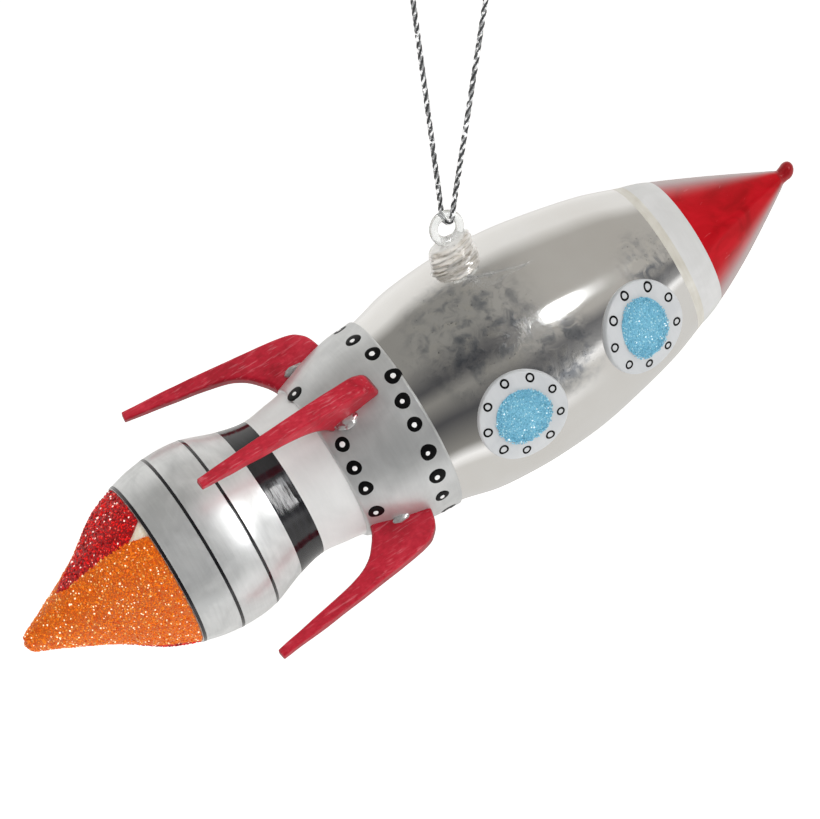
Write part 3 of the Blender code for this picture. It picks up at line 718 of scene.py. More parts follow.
def add_shell(name, start, end, surfaces, node, slot, radius_at=glass_radius, wobble=0.0, extra=(),
              painted=None):
    """A ring-shaped shell of glass; outside faces take the second surface where `painted` says so."""
    stations = sorted({*steps_between(start, end), *extra})
    profile = [(radius_at(station), station) for station in stations]
    profile += [(glass_radius(s) - WALL, s) for s in steps_between(end, start, 3 * STEP)]
    points, faces = skin(turned(profile, wobble=wobble), loop=True)
    which = []
    for face in faces:
        middle = sum((points[i] for i in face), Vector()) / len(face)
        outside = middle.xy.length > glass_radius(middle.z) - WALL / 2
        which.append(1 if painted and outside and painted(middle.z) else 0)
    add_piece(name, points, faces, surfaces, slot, node, which=which)


def line_height(station):
    """How far paint stands off the bulb at a station: its lines are raised a little."""
    for line in LINE_STATIONS:
        if abs(station - line) <= LINE_WIDTH / 2:
            return PAINT_DEPTH
    return 0.0


def make_bulb():
    """The frosted bulb with its thin black lines, which are part of its mesh."""
    half = LINE_WIDTH / 2
    edges = [line + edge for line in LINE_STATIONS for edge in (-half, -half - PAINT_DEPTH)]
    edges += [line + edge for line in LINE_STATIONS for edge in (half, half + PAINT_DEPTH)]

    def radius_at(station):
        return glass_radius(station) + line_height(station)

    add_shell(
        "engine_bulb_glass", FLAME_BASE, BLACK_AFT, ("frosted_silver", "black_enamel"), "engine_bulb",
        "frosted_silver", radius_at, 0.04 * MM, [edge for edge in edges if edge > FLAME_BASE], line_height,
    )


def make_collar():
    """The collar with both of its edges rolled over."""

    def radius_at(station):
        near = min(station - COLLAR_AFT, COLLAR_FRONT - station)
        share = min(near / COLLAR_LIP, 1.0)
        return glass_radius(station) + COLLAR_LIP * sqrt(max(0.0, 1 - (1 - share) ** 2))

    lips = [COLLAR_LIP * share for share in (0.0, 0.06, 0.2, 0.4, 0.65, 1.0)]
    extra = [COLLAR_AFT + lip for lip in lips] + [COLLAR_FRONT - lip for lip in lips]
    add_shell(
        "collar_sleeve", COLLAR_AFT, COLLAR_FRONT, ("collar_silver",), "riveted_collar", "frosted_silver",
        radius_at, 0.06 * MM, extra,
    )


def make_envelope():
    """The blown glass from the bulb to the nose band, with a strip of cream at the hull's front."""
    make_bulb()
    add_shell("black_band_glass", BLACK_AFT, NECK_AFT, ("black_enamel",), "black_band", "black_gloss")
    add_shell("neck_glass", NECK_AFT, COLLAR_AFT, ("neck_white",), "neck_shell", "white_satin")
    make_collar()
    add_shell(
        "hull_glass", COLLAR_FRONT, NOSE_BAND_AFT, ("silvered_glass", "cream_paint"), "hull_shell",
        "silvered_glass", wobble=0.06 * MM, extra=(CREAM_AFT,), painted=lambda station: station > CREAM_AFT,
    )

    def band_radius(station):
        share = (station - NOSE_BAND_AFT) / (NOSE_AFT - NOSE_BAND_AFT)
        return glass_radius(station) + 0.12 * MM * sin(pi * min(max(share, 0.0), 1.0)) ** 0.5

    add_shell(
        "nose_band_glass", NOSE_BAND_AFT, NOSE_AFT, ("white_satin",), "nose_band", "white_satin",
        band_radius, 0.04 * MM,
    )


def nose_lean(station):
    share = (station - NOSE_AFT) / (BEAD_STATION - NOSE_AFT)
    drop = max(station - TIP_NECK, 0.0)
    return NOSE_LEAN * max(share, 0.0) ** 1.7 + 0.22 * drop


def make_nose():
    """The cone and the drop of glass at its tip, drawn out in one."""
    outside = [(glass_radius(s), s) for s in steps_between(NOSE_AFT, CONE_END)]
    outside += [(CONE_END_RADIUS, TIP_NECK - 0.3 * MM), (TIP_NECK_RADIUS, TIP_NECK)]
    turns = 14
    first = pi - asin(TIP_NECK_RADIUS / BEAD_RADIUS)
    for i in range(1, turns):
        turn = first * (1 - i / turns)
        outside.append((BEAD_RADIUS * sin(turn), BEAD_STATION + BEAD_RADIUS * cos(turn)))
    outside.append((0.0, BEAD_STATION + BEAD_RADIUS))
    floor = NOSE_AFT + 0.2 * MM
    profile = [(0.0, floor), (glass_radius(NOSE_AFT) - WALL, floor)] + outside
    points, faces = skin(turned(profile, wobble=0.05 * MM, lean=nose_lean))
    nodes = ("nose_cone", "nose_tip_bead")
    add_piece("nose_cone_glass", points, faces, ("red_lacquer",), "red_lacquer", *nodes)


# --- Glitter -----------------------------------------------------------------------------------


def add_grain(points, faces, centre, outward, size, dice):
    """One foil grain: a small eight-sided crystal, turned at random and squashed towards the surface."""
    spin = Matrix.Rotation(dice.uniform(0, 2 * pi), 3, "Z")
    roll = Matrix.Rotation(dice.uniform(-GRAIN_TILT, GRAIN_TILT), 3, "X")
    pitch = Matrix.Rotation(dice.uniform(-GRAIN_TILT, GRAIN_TILT), 3, "Y")
    turn = outward.to_track_quat("Z", "Y").to_matrix() @ (roll @ pitch) @ spin
    wide = size * dice.uniform(0.85, 1.2)
    deep = size * dice.uniform(0.5, 0.85)
    corners = ((wide, 0, 0), (0, size, 0), (-wide, 0, 0), (0, -size, 0), (0, 0, deep), (0, 0, -deep))
    sides = []
    for k in range(4):
        after = (k + 1) % 4
        sides += [(k, after, 4), (after, k, 5)]
    merge(points, faces, [centre + turn @ Vector(corner) for corner in corners], sides)


def coat_patch(points, faces, edges, start, end):
    """A thin coat between two edge angles that change along the axis, added to points and faces."""
    columns = 40
    rings = []
    for station in steps_between(start, end):
        low, high = edges(station)
        angles = [low + (high - low) * k / columns for k in range(columns + 1)]
        radius = flame_radius(station)
        under = max(radius - GLITTER_DEPTH, radius * 0.3)
        ring = [at(station, angle, radius) for angle in angles]
        rings.append(ring + [at(station, angle, under) for angle in reversed(angles)])
    made, over = skin(rings)
    cap(over, 0, len(rings[0]), flip=True)
    cap(over, len(made) - len(rings[-1]), len(rings[-1]))
    merge(points, faces, made, over)


def scatter_grains(points, faces, edges, start, end, coarse, dice):
    pitch = GRAIN_PITCH * coarse
    station = start
    while station < end:
        radius = max(flame_radius(station), 0.5 * MM)
        slope = (flame_radius(station + STEP) - flame_radius(max(station - STEP, 0.0))) / (2 * STEP)
        low, high = edges(station)
        angle = low + pitch / radius * dice.random() * 0.5
        while angle < high:
            here = station + dice.uniform(-0.5, 0.5) * pitch
            around = angle + dice.uniform(-0.45, 0.45) * pitch / radius
            outward = Vector((cos(around), sin(around), -slope)).normalized()
            stand = flame_radius(max(here, 0.05 * MM)) + dice.uniform(-0.12, 0.04) * MM
            big = BIG_GRAIN if dice.random() > BIG_GRAIN_FROM else 1.0
            size = GRAIN_RADIUS * coarse * big * dice.uniform(0.75, 1.15)
            add_grain(points, faces, at(here, around, stand), outward, size, dice)
            angle += pitch / radius
        station += pitch / sqrt(1 + slope * slope)


def add_coated(name, points, faces, coats, surfaces, slot, node):
    """A piece whose first `coats` faces are glue and the rest grains."""
    which = [0] * coats + [1] * (len(faces) - coats)
    add_piece(name, points, faces, surfaces, slot, node, which=which, smooth=False)


def make_glitter_piece(name, sides, span, surfaces, node, slot, seed, coarse=1.0):
    """Coats and grains of one colour: `sides` gives the edge angles of each patch."""
    points, faces = [], []
    for edges in sides:
        coat_patch(points, faces, edges, *span)
    coats = len(faces)
    dice = Random(seed)
    for edges in sides:
        scatter_grains(points, faces, edges, *span, coarse, dice)
    add_coated(name, points, faces, coats, surfaces, slot, node)


def make_flame():
    """Red tongues of glitter above and below, orange glitter between them on both sides."""
    end = FLAME_BASE - 0.1 * MM

    def gap(station):
        return tongue_angle(station, ORANGE_KNOTS)

    def lower(station):
        share = min(max(station / MM - 10, 0.0) / 8, 1.0)
        return pi - tongue_angle(station) - LOWER_SPREAD * share

    def right(station):
        return gap(station), lower(station)

    def left(station):
        return 2 * pi - lower(station), 2 * pi - gap(station)

    def top(station):
        return -tongue_angle(station), tongue_angle(station)

    def bottom(station):
        return lower(station), 2 * pi - lower(station)

    start = 0.15 * MM
    apex = RED_KNOTS[0][0] * MM + 0.2 * MM
    make_glitter_piece(
        "flame_orange_coat", (right, left), (start, end),
        ("orange_glue", "orange_grains"), "flame_orange_glitter", "orange_glitter", 11,
    )
    for name, edges, seed in (("top", top, 12), ("bottom", bottom, 13)):
        make_glitter_piece(
            f"flame_red_coat_{name}", (edges,), (apex, end), ("red_glue", "red_grains"),
            f"flame_red_glitter_{name}", "red_glitter", seed, RED_COARSENESS,
        )
    stations = steps_between(2.5 * MM, FLAME_BASE)
    core = [(0.0, stations[0])]
    core += [(flame_radius(station) - 0.3 * MM, station) for station in stations]
    core += [(0.0, FLAME_BASE)]
    points, faces = skin(turned(core, count=96))
    add_piece("flame_glass", points, faces, ("bare_gold",), "white_satin", "flame_cone")


# --- Fins --------------------------------------------------------------------------------------


def smooth_between(before, start, end, after, share):
    """The point a share of the way from start to end, on the smooth curve through all four."""
    return 0.5 * (
        2 * start
        + (end - before) * share
        + (2 * before - 5 * start + 4 * end - after) * share**2
        + (3 * start - before - 3 * end + after) * share**3
    )


def spline(knots, share):
    """A point on the smooth curve through 2D knots in millimetres, share running 0 to 1."""
    spans = len(knots) - 1
    where = min(share * spans, spans - 1e-6)
    index = int(where)
    held = [knots[max(index - 1, 0)], knots[index], knots[index + 1], knots[min(index + 2, spans)]]
    return MM * smooth_between(*(Vector(knot) for knot in held), where - index)


def toward_root(station, tip, root):
    """A value that grows from the fin's tip to its root."""
    share = (station - FIN_TIP_STATION) / (FIN_ROOT_STATION - FIN_TIP_STATION)
    return tip + min(max(share, 0.0), 1.0) * (root - tip)


def fin_section(share, stout, inset=0.0):
    """One cross-section of a fin: a bar from its inner edge to its outer edge with rounded corners."""
    inner, outer = spline(FIN_INNER, share), spline(FIN_OUTER, share)
    along = (outer - inner).normalized()
    middle = (outer + inner) / 2
    half_width = (outer - inner).length / 2 - inset
    thickness = toward_root(middle.y, FIN_TIP_THICKNESS, FIN_ROOT_THICKNESS * stout)
    half_thick = thickness / 2 - inset
    edge = toward_root(middle.y, FIN_TIP_EDGE, FIN_ROOT_EDGE)
    edge = max(min(edge, 0.8 * half_thick, 0.8 * half_width) - inset, 0.1 * MM)
    flat_points = 7
    corner_points = 6
    corners = ((1, 1), (-1, 1), (-1, -1), (1, -1))

    def on_corner(corner, quarters):
        turn = pi / 2 * quarters
        across = corner[0] * (half_width - edge) + edge * cos(turn)
        return Vector((across, corner[1] * (half_thick - edge) + edge * sin(turn)))

    ring = []
    for quarter, corner in enumerate(corners):
        shares = [k / (corner_points - 1) for k in range(corner_points)]
        ring += [on_corner(corner, quarter + share) for share in shares]
        last, goal = ring[-1], on_corner(corners[(quarter + 1) % 4], quarter + 1)
        ring += [last.lerp(goal, k / flat_points) for k in range(1, flat_points)]
    return [Vector((*(middle + along * point.x), point.y)) for point in ring]


def fin_matrix(angle, skew, forward):
    turn = Matrix.Rotation(angle, 3, "Z") @ Matrix.Rotation(radians(90) + skew, 3, "X")
    middle = turn @ Vector((0.0, FIN_SKEW_STATION, 0.0))
    shift = Vector((0.0, 0.0, FIN_SKEW_STATION + forward)) - middle
    return Matrix.Translation(shift) @ turn.to_4x4()


def make_fins():
    """Four swept fins, each a little uneven like poured glass."""
    count = 72
    for index, (name, (angle, skew, forward, stout)) in enumerate(FINS.items()):
        rings = []
        for inset, back in ((0.30 * MM, 0.14 * MM), (0.12 * MM, 0.10 * MM)):
            ring = fin_section(0.0, stout, inset)
            rings.append([point - Vector((0.0, back, 0.0)) for point in ring])
        rings += [fin_section(i / count, stout) for i in range(count + 1)]
        matrix = fin_matrix(angle, skew, forward)
        offset = Vector((0.0, 0.0, 0.05 * index))
        for ring in rings:
            for point in ring:
                point += noise.noise_vector((point + offset) * FIN_WAVES) * FIN_UNEVEN * MM
                point.xyz = matrix @ point
        points, faces = skin(rings)
        cap(faces, 0, len(rings[0]), flip=True)
        cap(faces, len(points) - len(rings[-1]), len(rings[-1]))
        add_piece(f"fin_{name}_glass", points, faces, ("fin_crimson",), "fin_crimson", f"fin_{name}")


def blob(centre, axes, size, seed, points, faces):
    """A rounded, uneven drop of glass about centre, added to points and faces."""
    rows, columns = 20, 32
    offset = Vector((seed, 0.0, 0.0))
    rings = []
    for i in range(rows + 1):
        polar = pi * i / rows
        ring = []
        for turn in even_turns(columns if 0 < i < rows else 1):
            ball = Vector((sin(polar) * cos(turn), sin(polar) * sin(turn), cos(polar)))
            swell = 1 + 0.22 * noise.noise(ball * 1.6 + offset)
            ring.append(centre + axes @ Vector([s * c * swell for s, c in zip(size, ball)]))
        rings.append(ring)
    merge(points, faces, *skin(rings))


def make_welds():
    """Drops of glass glue at the aft root of each fin, one on each face of it."""
    for seed, (name, (angle, _, _, stout)) in enumerate(FINS.items()):
        radial = Vector((cos(angle), sin(angle), 0.0))
        across = Vector((-sin(angle), cos(angle), 0.0))
        axes = Matrix((radial, across, Vector((0.0, 0.0, 1.0)))).transposed()
        root = radial * (glass_radius(WELD_STATION) + 0.5 * MM)
        root.z = WELD_STATION
        points, faces = [], []
        beside = FIN_ROOT_THICKNESS * stout / 2 - 0.3 * MM
        size = (0.8 * MM, 1.25 * MM, 2.2 * MM)
        blob(root + across * beside, axes, size, 3 * seed, points, faces)
        small = (0.9 * MM, 0.9 * MM, 1.6 * MM)
        blob(root - across * beside + Vector((0, 0, 0.8 * MM)), axes, small, 3 * seed + 1, points, faces)
        add_piece(f"fin_{name}_glue", points, faces, ("weld_glass",), "clear_glass", f"fin_{name}_weld")


# --- Painted rivets and portholes ----------------------------------------------------------------


def on_surface(station, angle, across, along, height, radius_at):
    """A point on a turned surface, from a flat offset (across, along) from the place given."""
    nudge = 0.4 * MM
    slope = (radius_at(station + nudge) - radius_at(station - nudge)) / (2 * nudge)
    here = station + along / sqrt(1 + slope * slope)
    radius = radius_at(here)
    turn = angle + asin(max(-1.0, min(1.0, across / radius)))
    local = (radius_at(here + nudge) - radius_at(here - nudge)) / (2 * nudge)
    lift = height / sqrt(1 + local * local)
    return at(here - lift * local, turn, radius + lift)


def add_disc(points, faces, place, outline, profile, radius_at, count=48):
    """A round patch that follows a surface. `profile` is (share of the outline, height) from the rim in."""
    rings = []
    for share, height in profile:
        if share == 0.0:
            rings.append([on_surface(*place, *outline(0.0, 0.0), height, radius_at)])
            continue
        around = [outline(turn, share) for turn in even_turns(count)]
        rings.append([on_surface(*place, *offset, height, radius_at) for offset in around])
    merge(points, faces, *skin(rings))


def hand_circle(radius, dice, shift=(0.0, 0.0)):
    """A circle drawn by hand: slightly oval and off its centre."""
    squash = dice.uniform(0.93, 1.06)
    lean = dice.uniform(0, pi)
    wave = dice.uniform(0.0, 0.04)
    phase = dice.uniform(0, 2 * pi)

    def outline(turn, share):
        reach = radius * share * (1 + wave * cos(3 * turn + phase))
        across, along = reach * cos(turn) * squash, reach * sin(turn)
        return (
            across * cos(lean) - along * sin(lean) + shift[0],
            across * sin(lean) + along * cos(lean) + shift[1],
        )

    return outline


def drop_profile(height, sunk=0.06 * MM, base=0.0):
    """The section of a drop of paint: sunk at its rim, steep, then almost flat."""
    profile = [(1.0, base - sunk)]
    for i in range(1, 7):
        share = 1 - i / 7
        profile.append((share, base + height * sqrt(1 - share**3)))
    return profile + [(0.0, base + height)]


def rivet_places():
    """The rivets as listed, and even rows of them where the collar is out of sight."""
    places = list(FRONT_RIVETS + AFT_RIVETS)
    for first, last, count, station in (HIDDEN_FRONT, *HIDDEN_AFT):
        places += [(first + (last - first) * i / (count - 1), station) for i in range(count)]
    return [(station * MM, radians(angle)) for angle, station in places]


def make_rivets():
    """Drops of black paint round the collar, each with a white dot."""
    dice = Random(5)
    black, black_faces, white, white_faces = [], [], [], []
    for place in rivet_places():
        outline = hand_circle(RIVET_RADIUS * dice.uniform(0.93, 1.06), dice)
        add_disc(black, black_faces, place, outline, drop_profile(0.09 * MM), collar_radius)
        drift = (dice.uniform(-0.05, 0.20) * MM, dice.uniform(-0.20, 0.08) * MM)
        dot = hand_circle(RIVET_DOT * dice.uniform(0.9, 1.15), dice, drift)
        add_disc(white, white_faces, place, dot, drop_profile(0.08 * MM, base=0.08 * MM), collar_radius, 32)
    add_piece("collar_rivet_paint", black, black_faces, ("black_paint",), "black_gloss")
    add_piece("collar_rivet_dots", white, white_faces, ("dot_white",), "white_paint")


def disc_profile():
    """Section of a porthole disc: a sloped side, a rounded shoulder, then flat to its middle."""
    rim = PORTHOLE_RADIUS
    profile = [(1.0, -0.15 * MM), (0.995, 0.2 * MM), (0.982, 0.55 * MM)]
    for i in range(1, 6):
        turn = pi / 2 * i / 5
        inward = 0.02 * rim + PORTHOLE_SHOULDER * (1 - cos(turn))
        height = PORTHOLE_PROUD - PORTHOLE_SHOULDER * (1 - sin(turn))
        profile.append((1 - inward / rim, height))
    profile += [(share, PORTHOLE_PROUD) for share in (0.88, 0.76, 0.64, 0.5, 0.34, 0.17, 0.0)]
    return profile


def add_hoop(points, faces, place, centre, dice):
    """A hand-painted ring, as a low rounded band on a porthole disc."""
    radius = BOLT_RADIUS * dice.uniform(0.90, 1.08)
    outline = hand_circle(1.0, dice)
    section = (
        (BOLT_LINE, -0.03 * MM), (BOLT_LINE * 0.8, 0.05 * MM), (0.0, 0.08 * MM),
        (-BOLT_LINE * 0.8, 0.05 * MM), (-BOLT_LINE, -0.03 * MM),
    )
    rings = []
    for width, height in section:
        ring = []
        for turn in even_turns(32):
            across, along = outline(turn, radius + width)
            where = (centre[0] + across, centre[1] + along)
            ring.append(on_surface(*place, *where, PORTHOLE_PROUD + height, glass_radius))
        rings.append(ring)
    merge(points, faces, *skin(rings, loop=True))


def make_porthole(name, place, mirrored, dice):
    station, angle = place
    flip = -1 if mirrored else 1
    place = (station, flip * angle)
    shift = (flip * HAND_SHIFT[0], HAND_SHIFT[1])

    def rim(turn, share):
        return PORTHOLE_RADIUS * share * cos(turn), PORTHOLE_RADIUS * share * sin(turn)

    points, faces = [], []
    add_disc(points, faces, place, rim, disc_profile(), glass_radius, 128)
    add_piece(f"porthole_{name}_disc", points, faces, ("disc_white",), "white_paint", f"porthole_{name}")

    hoops, hoop_faces = [], []
    for i in range(BOLT_COUNT):
        turn = BOLT_START + 2 * pi * i / BOLT_COUNT + radians(dice.uniform(-1.5, 1.5))
        reach = BOLT_CIRCLE + dice.uniform(-0.10, 0.10) * MM
        across = (reach * cos(turn) + HAND_SHIFT[0]) * flip
        add_hoop(hoops, hoop_faces, place, (across, reach * sin(turn) + shift[1]), dice)
    add_piece(f"porthole_{name}_bolt_rings", hoops, hoop_faces, ("black_paint",), "black_gloss")
    make_window(name, place, shift, dice)


def make_window(name, place, shift, dice):
    """A round of blue glitter in the middle of a disc."""
    round_edge = hand_circle(WINDOW_RADIUS, dice)
    stretch = WINDOW_STRETCH[name.split("_")[0]]

    def outline(turn, share):
        across, along = round_edge(turn, share)
        return across + shift[0], along * stretch + shift[1]

    points, faces = [], []
    drop = drop_profile(0.22 * MM, base=PORTHOLE_PROUD)
    add_disc(points, faces, place, outline, drop, glass_radius, 64)
    coats = len(faces)
    across = -WINDOW_RADIUS
    while across < WINDOW_RADIUS:
        along = -WINDOW_RADIUS
        while along < WINDOW_RADIUS:
            x = across + dice.uniform(-0.5, 0.5) * GRAIN_PITCH
            y = along + dice.uniform(-0.5, 0.5) * GRAIN_PITCH
            along += GRAIN_PITCH * 0.9
            turn, reach = atan2(y, x), sqrt(x * x + y * y)
            if reach > Vector(round_edge(turn, 1.0)).length - 0.1 * MM:
                continue
            height = PORTHOLE_PROUD + dice.uniform(0.17, 0.27) * MM
            where = (x + shift[0], y * stretch + shift[1])
            centre = on_surface(*place, *where, height, glass_radius)
            outward = centre - Vector((0.0, 0.0, centre.z))
            size = GRAIN_RADIUS * dice.uniform(0.7, 1.0)
            add_grain(points, faces, centre, outward.normalized(), size, dice)
        across += GRAIN_PITCH * 0.9
    surfaces = ("blue_glue", "blue_grains")
    add_coated(f"window_{name}_glitter", points, faces, coats, surfaces, "blue_glitter", f"window_{name}")


def make_portholes():
    for seed, (place_name, place) in enumerate(PORTHOLES.items()):
        for side, mirrored in (("right", False), ("left", True)):
            make_porthole(f"{place_name}_{side}", place, mirrored, Random(20 + 2 * seed + mirrored))


# --- Hanger and cord -----------------------------------------------------------------------------


def make_lump():
    """A lump of clear glass, wound round as it was melted on."""
    base = glass_radius(STUB_STATION) - 1.6 * MM
    rows, columns = 64, 112
    rings = [[Vector((base, 0.0, STUB_STATION))]]
    for i in range(rows + 1):
        share = i / rows
        rounding = max(0.0, share - 0.90) / 0.10
        narrow = (1 - 0.20 * rounding**2.4) * (1 - 0.04 * sin(pi * share))
        ring = []
        for turn in even_turns(columns):
            ridge = noise.noise(Vector((1.3 * cos(turn), 1.3 * sin(turn), 9.0 * share + 0.3 * turn % pi)))
            thread = 0.26 * MM * ridge + 0.05 * MM * sin(2 * turn - 15 * share)
            tab = 0.7 * MM * max(0.0, cos(turn)) ** 6 * max(0.0, share - 0.5)
            height = base + (STUB_TOP - base) * share + tab
            flare = STUB_FLARE * (1 - share) * max(0.0, -cos(turn)) ** 2
            across = (STUB_HALF_WIDTH * narrow + thread) * sin(turn)
            along = (STUB_HALF_LENGTH * narrow + flare + thread) * cos(turn)
            point = Vector((height, across, along))
            point += noise.noise_vector(point * LUMP_WAVES) * LUMP_UNEVEN * MM
            ring.append(point + Vector((0.0, 0.0, STUB_STATION)))
        rings.append(ring)
    rings.append([Vector((STUB_TOP + 0.05 * MM, 0.0, STUB_STATION))])
    points, faces = skin(rings)
    add_piece("hanger_lump", points, faces, ("clear_glass",), "clear_glass", "hanger_stub")


def make_ring():
    """The ring of clear glass, its thickness a little uneven."""
    around, sides = 72, 28
    rings = []
    for turn in even_turns(around):
        outward = Vector((cos(turn), 0.0, sin(turn)))
        tube = RING_TUBE * (1 + 0.05 * sin(2 * turn + 0.6))
        centre = Vector((RING_HEIGHT, 0.0, RING_STATION)) + outward * RING_RADIUS
        rings.append(circle(centre, outward, Vector((0.0, 1.0, 0.0)), tube, sides))
    points, faces = skin(rings, loop=True)
    add_piece("hanger_ring_glass", points, faces, ("ring_glass",), "clear_glass", "hanger_ring")


def loop_side(side, slope):
    """The cord's middle line on one side of the loop, from its crown down to the ring."""
    rise = -SWING_PIVOT.z + CORD_RADIUS * cos(pi / 8)
    spread = CROWN_HALF - BIGHT_SHIFT
    bend = (rise * sin(slope) - spread * cos(slope)) / (1 + sin(slope))
    centre_height = rise - bend
    places = [(CROWN_HALF / 2, rise)]
    arc = 16
    for i in range(arc + 1):
        turn = pi / 2 - (pi / 2 + slope) * i / arc
        places.append((CROWN_HALF + bend * cos(turn), centre_height + bend * sin(turn)))
    top = places[-1][1]
    for height in steps_between(top, 2.4 * MM, 6 * MM)[1:]:
        places.append((BIGHT_SHIFT + height * tan(slope), height))
    points = []
    for across, height in places:
        behind = side * LEG_STANDOFF * (1 - height / rise)
        points.append(Vector((-side * across, behind, height + SWING_PIVOT.z)))
    return points


def bight():
    """The cord's middle line where it passes through the ring."""
    points = []
    for i in range(9):
        turn = pi * i / 8
        grip = BIGHT_RADIUS - BIGHT_GRIP * sin(turn)
        x, y = -BIGHT_SHIFT * cos(turn), grip * cos(turn)
        points.append(SWING_PIVOT + Vector((x, y, -grip * sin(turn))))
    return points


def even_path(knots, step, looped=False):
    """Points a step apart on the smooth curve through 3D knots."""
    last = len(knots)
    fine = []
    for i in range(last if looped else last - 1):
        held = [i - 1, i, i + 1, i + 2]
        held = [k % last if looped else min(max(k, 0), last - 1) for k in held]
        for part in range(24):
            fine.append(smooth_between(*(knots[k] for k in held), part / 24))
    fine.append(knots[0] if looped else knots[-1])
    total = sum((b - a).length for a, b in zip(fine, fine[1:]))
    count = max(2, round(total / step))
    path, walked, index = [], 0.0, 0
    for i in range(count + (0 if looped else 1)):
        goal = total * i / count
        while index < len(fine) - 2 and walked + (fine[index + 1] - fine[index]).length < goal:
            walked += (fine[index + 1] - fine[index]).length
            index += 1
        length = (fine[index + 1] - fine[index]).length
        share = (goal - walked) / length if length else 0.0
        path.append(fine[index].lerp(fine[index + 1], min(share, 1.0)))
    return path, total


def frames_along(path, looped):
    """A side direction at each point, carried along the path without turning about it."""
    count = len(path)
    tangents = []
    for i in range(count):
        after = path[(i + 1) % count] if looped else path[min(i + 1, count - 1)]
        before = path[i - 1] if looped or i else path[0]
        tangents.append((after - before).normalized())
    side = tangents[0].orthogonal().normalized()
    sides = []
    for tangent in tangents:
        side = (side - tangent * side.dot(tangent)).normalized()
        sides.append(side.copy())
    return tangents, sides


def add_strands(name, knots, *nodes, looped=False, ride=None):
    """Foil strands twisted round a path, silver and charcoal by turns."""
    path, total = even_path(knots, 0.24 * MM, looped)
    tangents, sides = frames_along(path, looped)
    slip = 0.0
    if looped:
        end_side = (sides[-1] - tangents[0] * sides[-1].dot(tangents[0])).normalized()
        slip = atan2(end_side.cross(sides[0]).dot(tangents[0]), end_side.dot(sides[0]))
    lays = round(total / STRAND_PITCH) if looped else total / STRAND_PITCH
    points, faces, which = [], [], []
    for strand in range(STRANDS):
        rings = []
        for i, (place, tangent, side) in enumerate(zip(path, tangents, sides)):
            share = i / len(path)
            turn = 2 * pi * (lays * share + strand / STRANDS) + slip * share
            up = tangent.cross(side)
            outward = side * cos(turn) + up * sin(turn)
            along = tangent.cross(outward)
            centre = place + outward * STRAND_OFFSET
            rings.append(circle(centre, outward, along, STRAND_RADIUS, STRAND_SIDES))
        made, over = skin(rings, loop=looped)
        if not looped:
            cap(over, 0, STRAND_SIDES, flip=True)
            cap(over, len(made) - STRAND_SIDES, STRAND_SIDES)
        merge(points, faces, made, over)
        which += [strand % 2] * len(over)
    foils = ("foil_silver", "foil_charcoal")
    return add_piece(name, points, faces, foils, "silver_cord", *nodes, ride=ride, which=which)


def make_cord():
    """One closed loop of cord: down behind the ring, through it, and up in front of it."""
    left, right = loop_side(1, BACK_LEG_SLOPE), loop_side(-1, FRONT_LEG_SLOPE)
    knots = left + bight() + right[::-1]
    nodes = ("cord_crown_length", "cord_front_length", "cord_bight")
    cord = add_strands("cord_loop", knots, *nodes, looped=True)
    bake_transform(cord)
    make_knot(right)


def make_knot(leg):
    """The knot that closes the loop: a few tight turns round the cord, with two tails."""
    height = SWING_PIVOT.z + KNOT_HEIGHT
    above = min((p for p in leg if p.z >= height), key=lambda p: p.z)
    below = max((p for p in leg if p.z < height), key=lambda p: p.z)
    along = (above - below).normalized()
    middle = below.lerp(above, (height - below.z) / (above.z - below.z))
    across = Vector((0.0, 1.0, 0.0))
    across = (across - along * across.dot(along)).normalized()
    outward = across.cross(along)
    wind = []
    count = 30
    for i in range(count + 1):
        share = i / count
        turn = 2 * pi * KNOT_TURNS * share
        radius = KNOT_RADIUS * (0.86 + 0.14 * sin(pi * share))
        rise = (share - 0.5) * KNOT_LENGTH
        wind.append(middle + along * rise + (outward * cos(turn) + across * sin(turn)) * radius)
    for lean, length in KNOT_TAILS:
        end = wind[-1] if lean < 0.5 else wind[0]
        drop = along if lean < 0.5 else -along
        tip = end + outward * (length * lean) + drop * (length * (1 - lean) * 0.9)
        bent = end.lerp(tip, 0.5) + outward * 0.5 * MM
        tail = [bent, tip]
        wind = wind + tail if lean < 0.5 else tail[::-1] + wind
    add_strands("cord_knot_turns", wind, "cord_knot", ride="cord")


# --- Stage -------------------------------------------------------------------------------------


def camera_axes():
    back = Vector((sin(AZIMUTH) * cos(ELEVATION), -cos(AZIMUTH) * cos(ELEVATION), sin(ELEVATION)))
    right = Vector((cos(AZIMUTH), sin(AZIMUTH), 0.0))
    return right, back.cross(right), back


def room_axes():
    """Square to the rocket's axis: towards the camera's side, and up."""
    back = camera_axes()[2]
    beside = (back - AXIS * back.dot(AXIS)).normalized()
    over = beside.cross(AXIS).normalized()
    return beside, over if over.z > 0 else -over


def make_camera():
    right, up, back = camera_axes()
    data = bpy.data.cameras.new("camera")
    data.sensor_width = 36.0
    data.lens = data.sensor_width / 2 / tan(FIELD / 2)
    data.clip_start = 0.01
    data.clip_end = 50.0
    camera = bpy.data.objects.new("camera", data)
    bpy.context.scene.collection.objects.link(camera)
    turn = Matrix((right, up, back)).transposed().to_4x4()
    camera.matrix_world = Matrix.Translation(TAIL + AXIS * AIM_STATION + back * DISTANCE) @ turn
    bpy.context.scene.camera = camera


def add_softbox(name, toward, size, watts, distance):
    data = bpy.data.lights.new(name, "AREA")
    data.shape = "RECTANGLE"
    data.size, data.size_y = size
    data.energy = watts
    light = bpy.data.objects.new(name, data)
    bpy.context.scene.collection.objects.link(light)
    middle = TAIL + AXIS * AIM_STATION
    light.location = middle + toward.normalized() * distance
    light.rotation_euler = toward.to_track_quat("Z", "Y").to_euler()
    return light


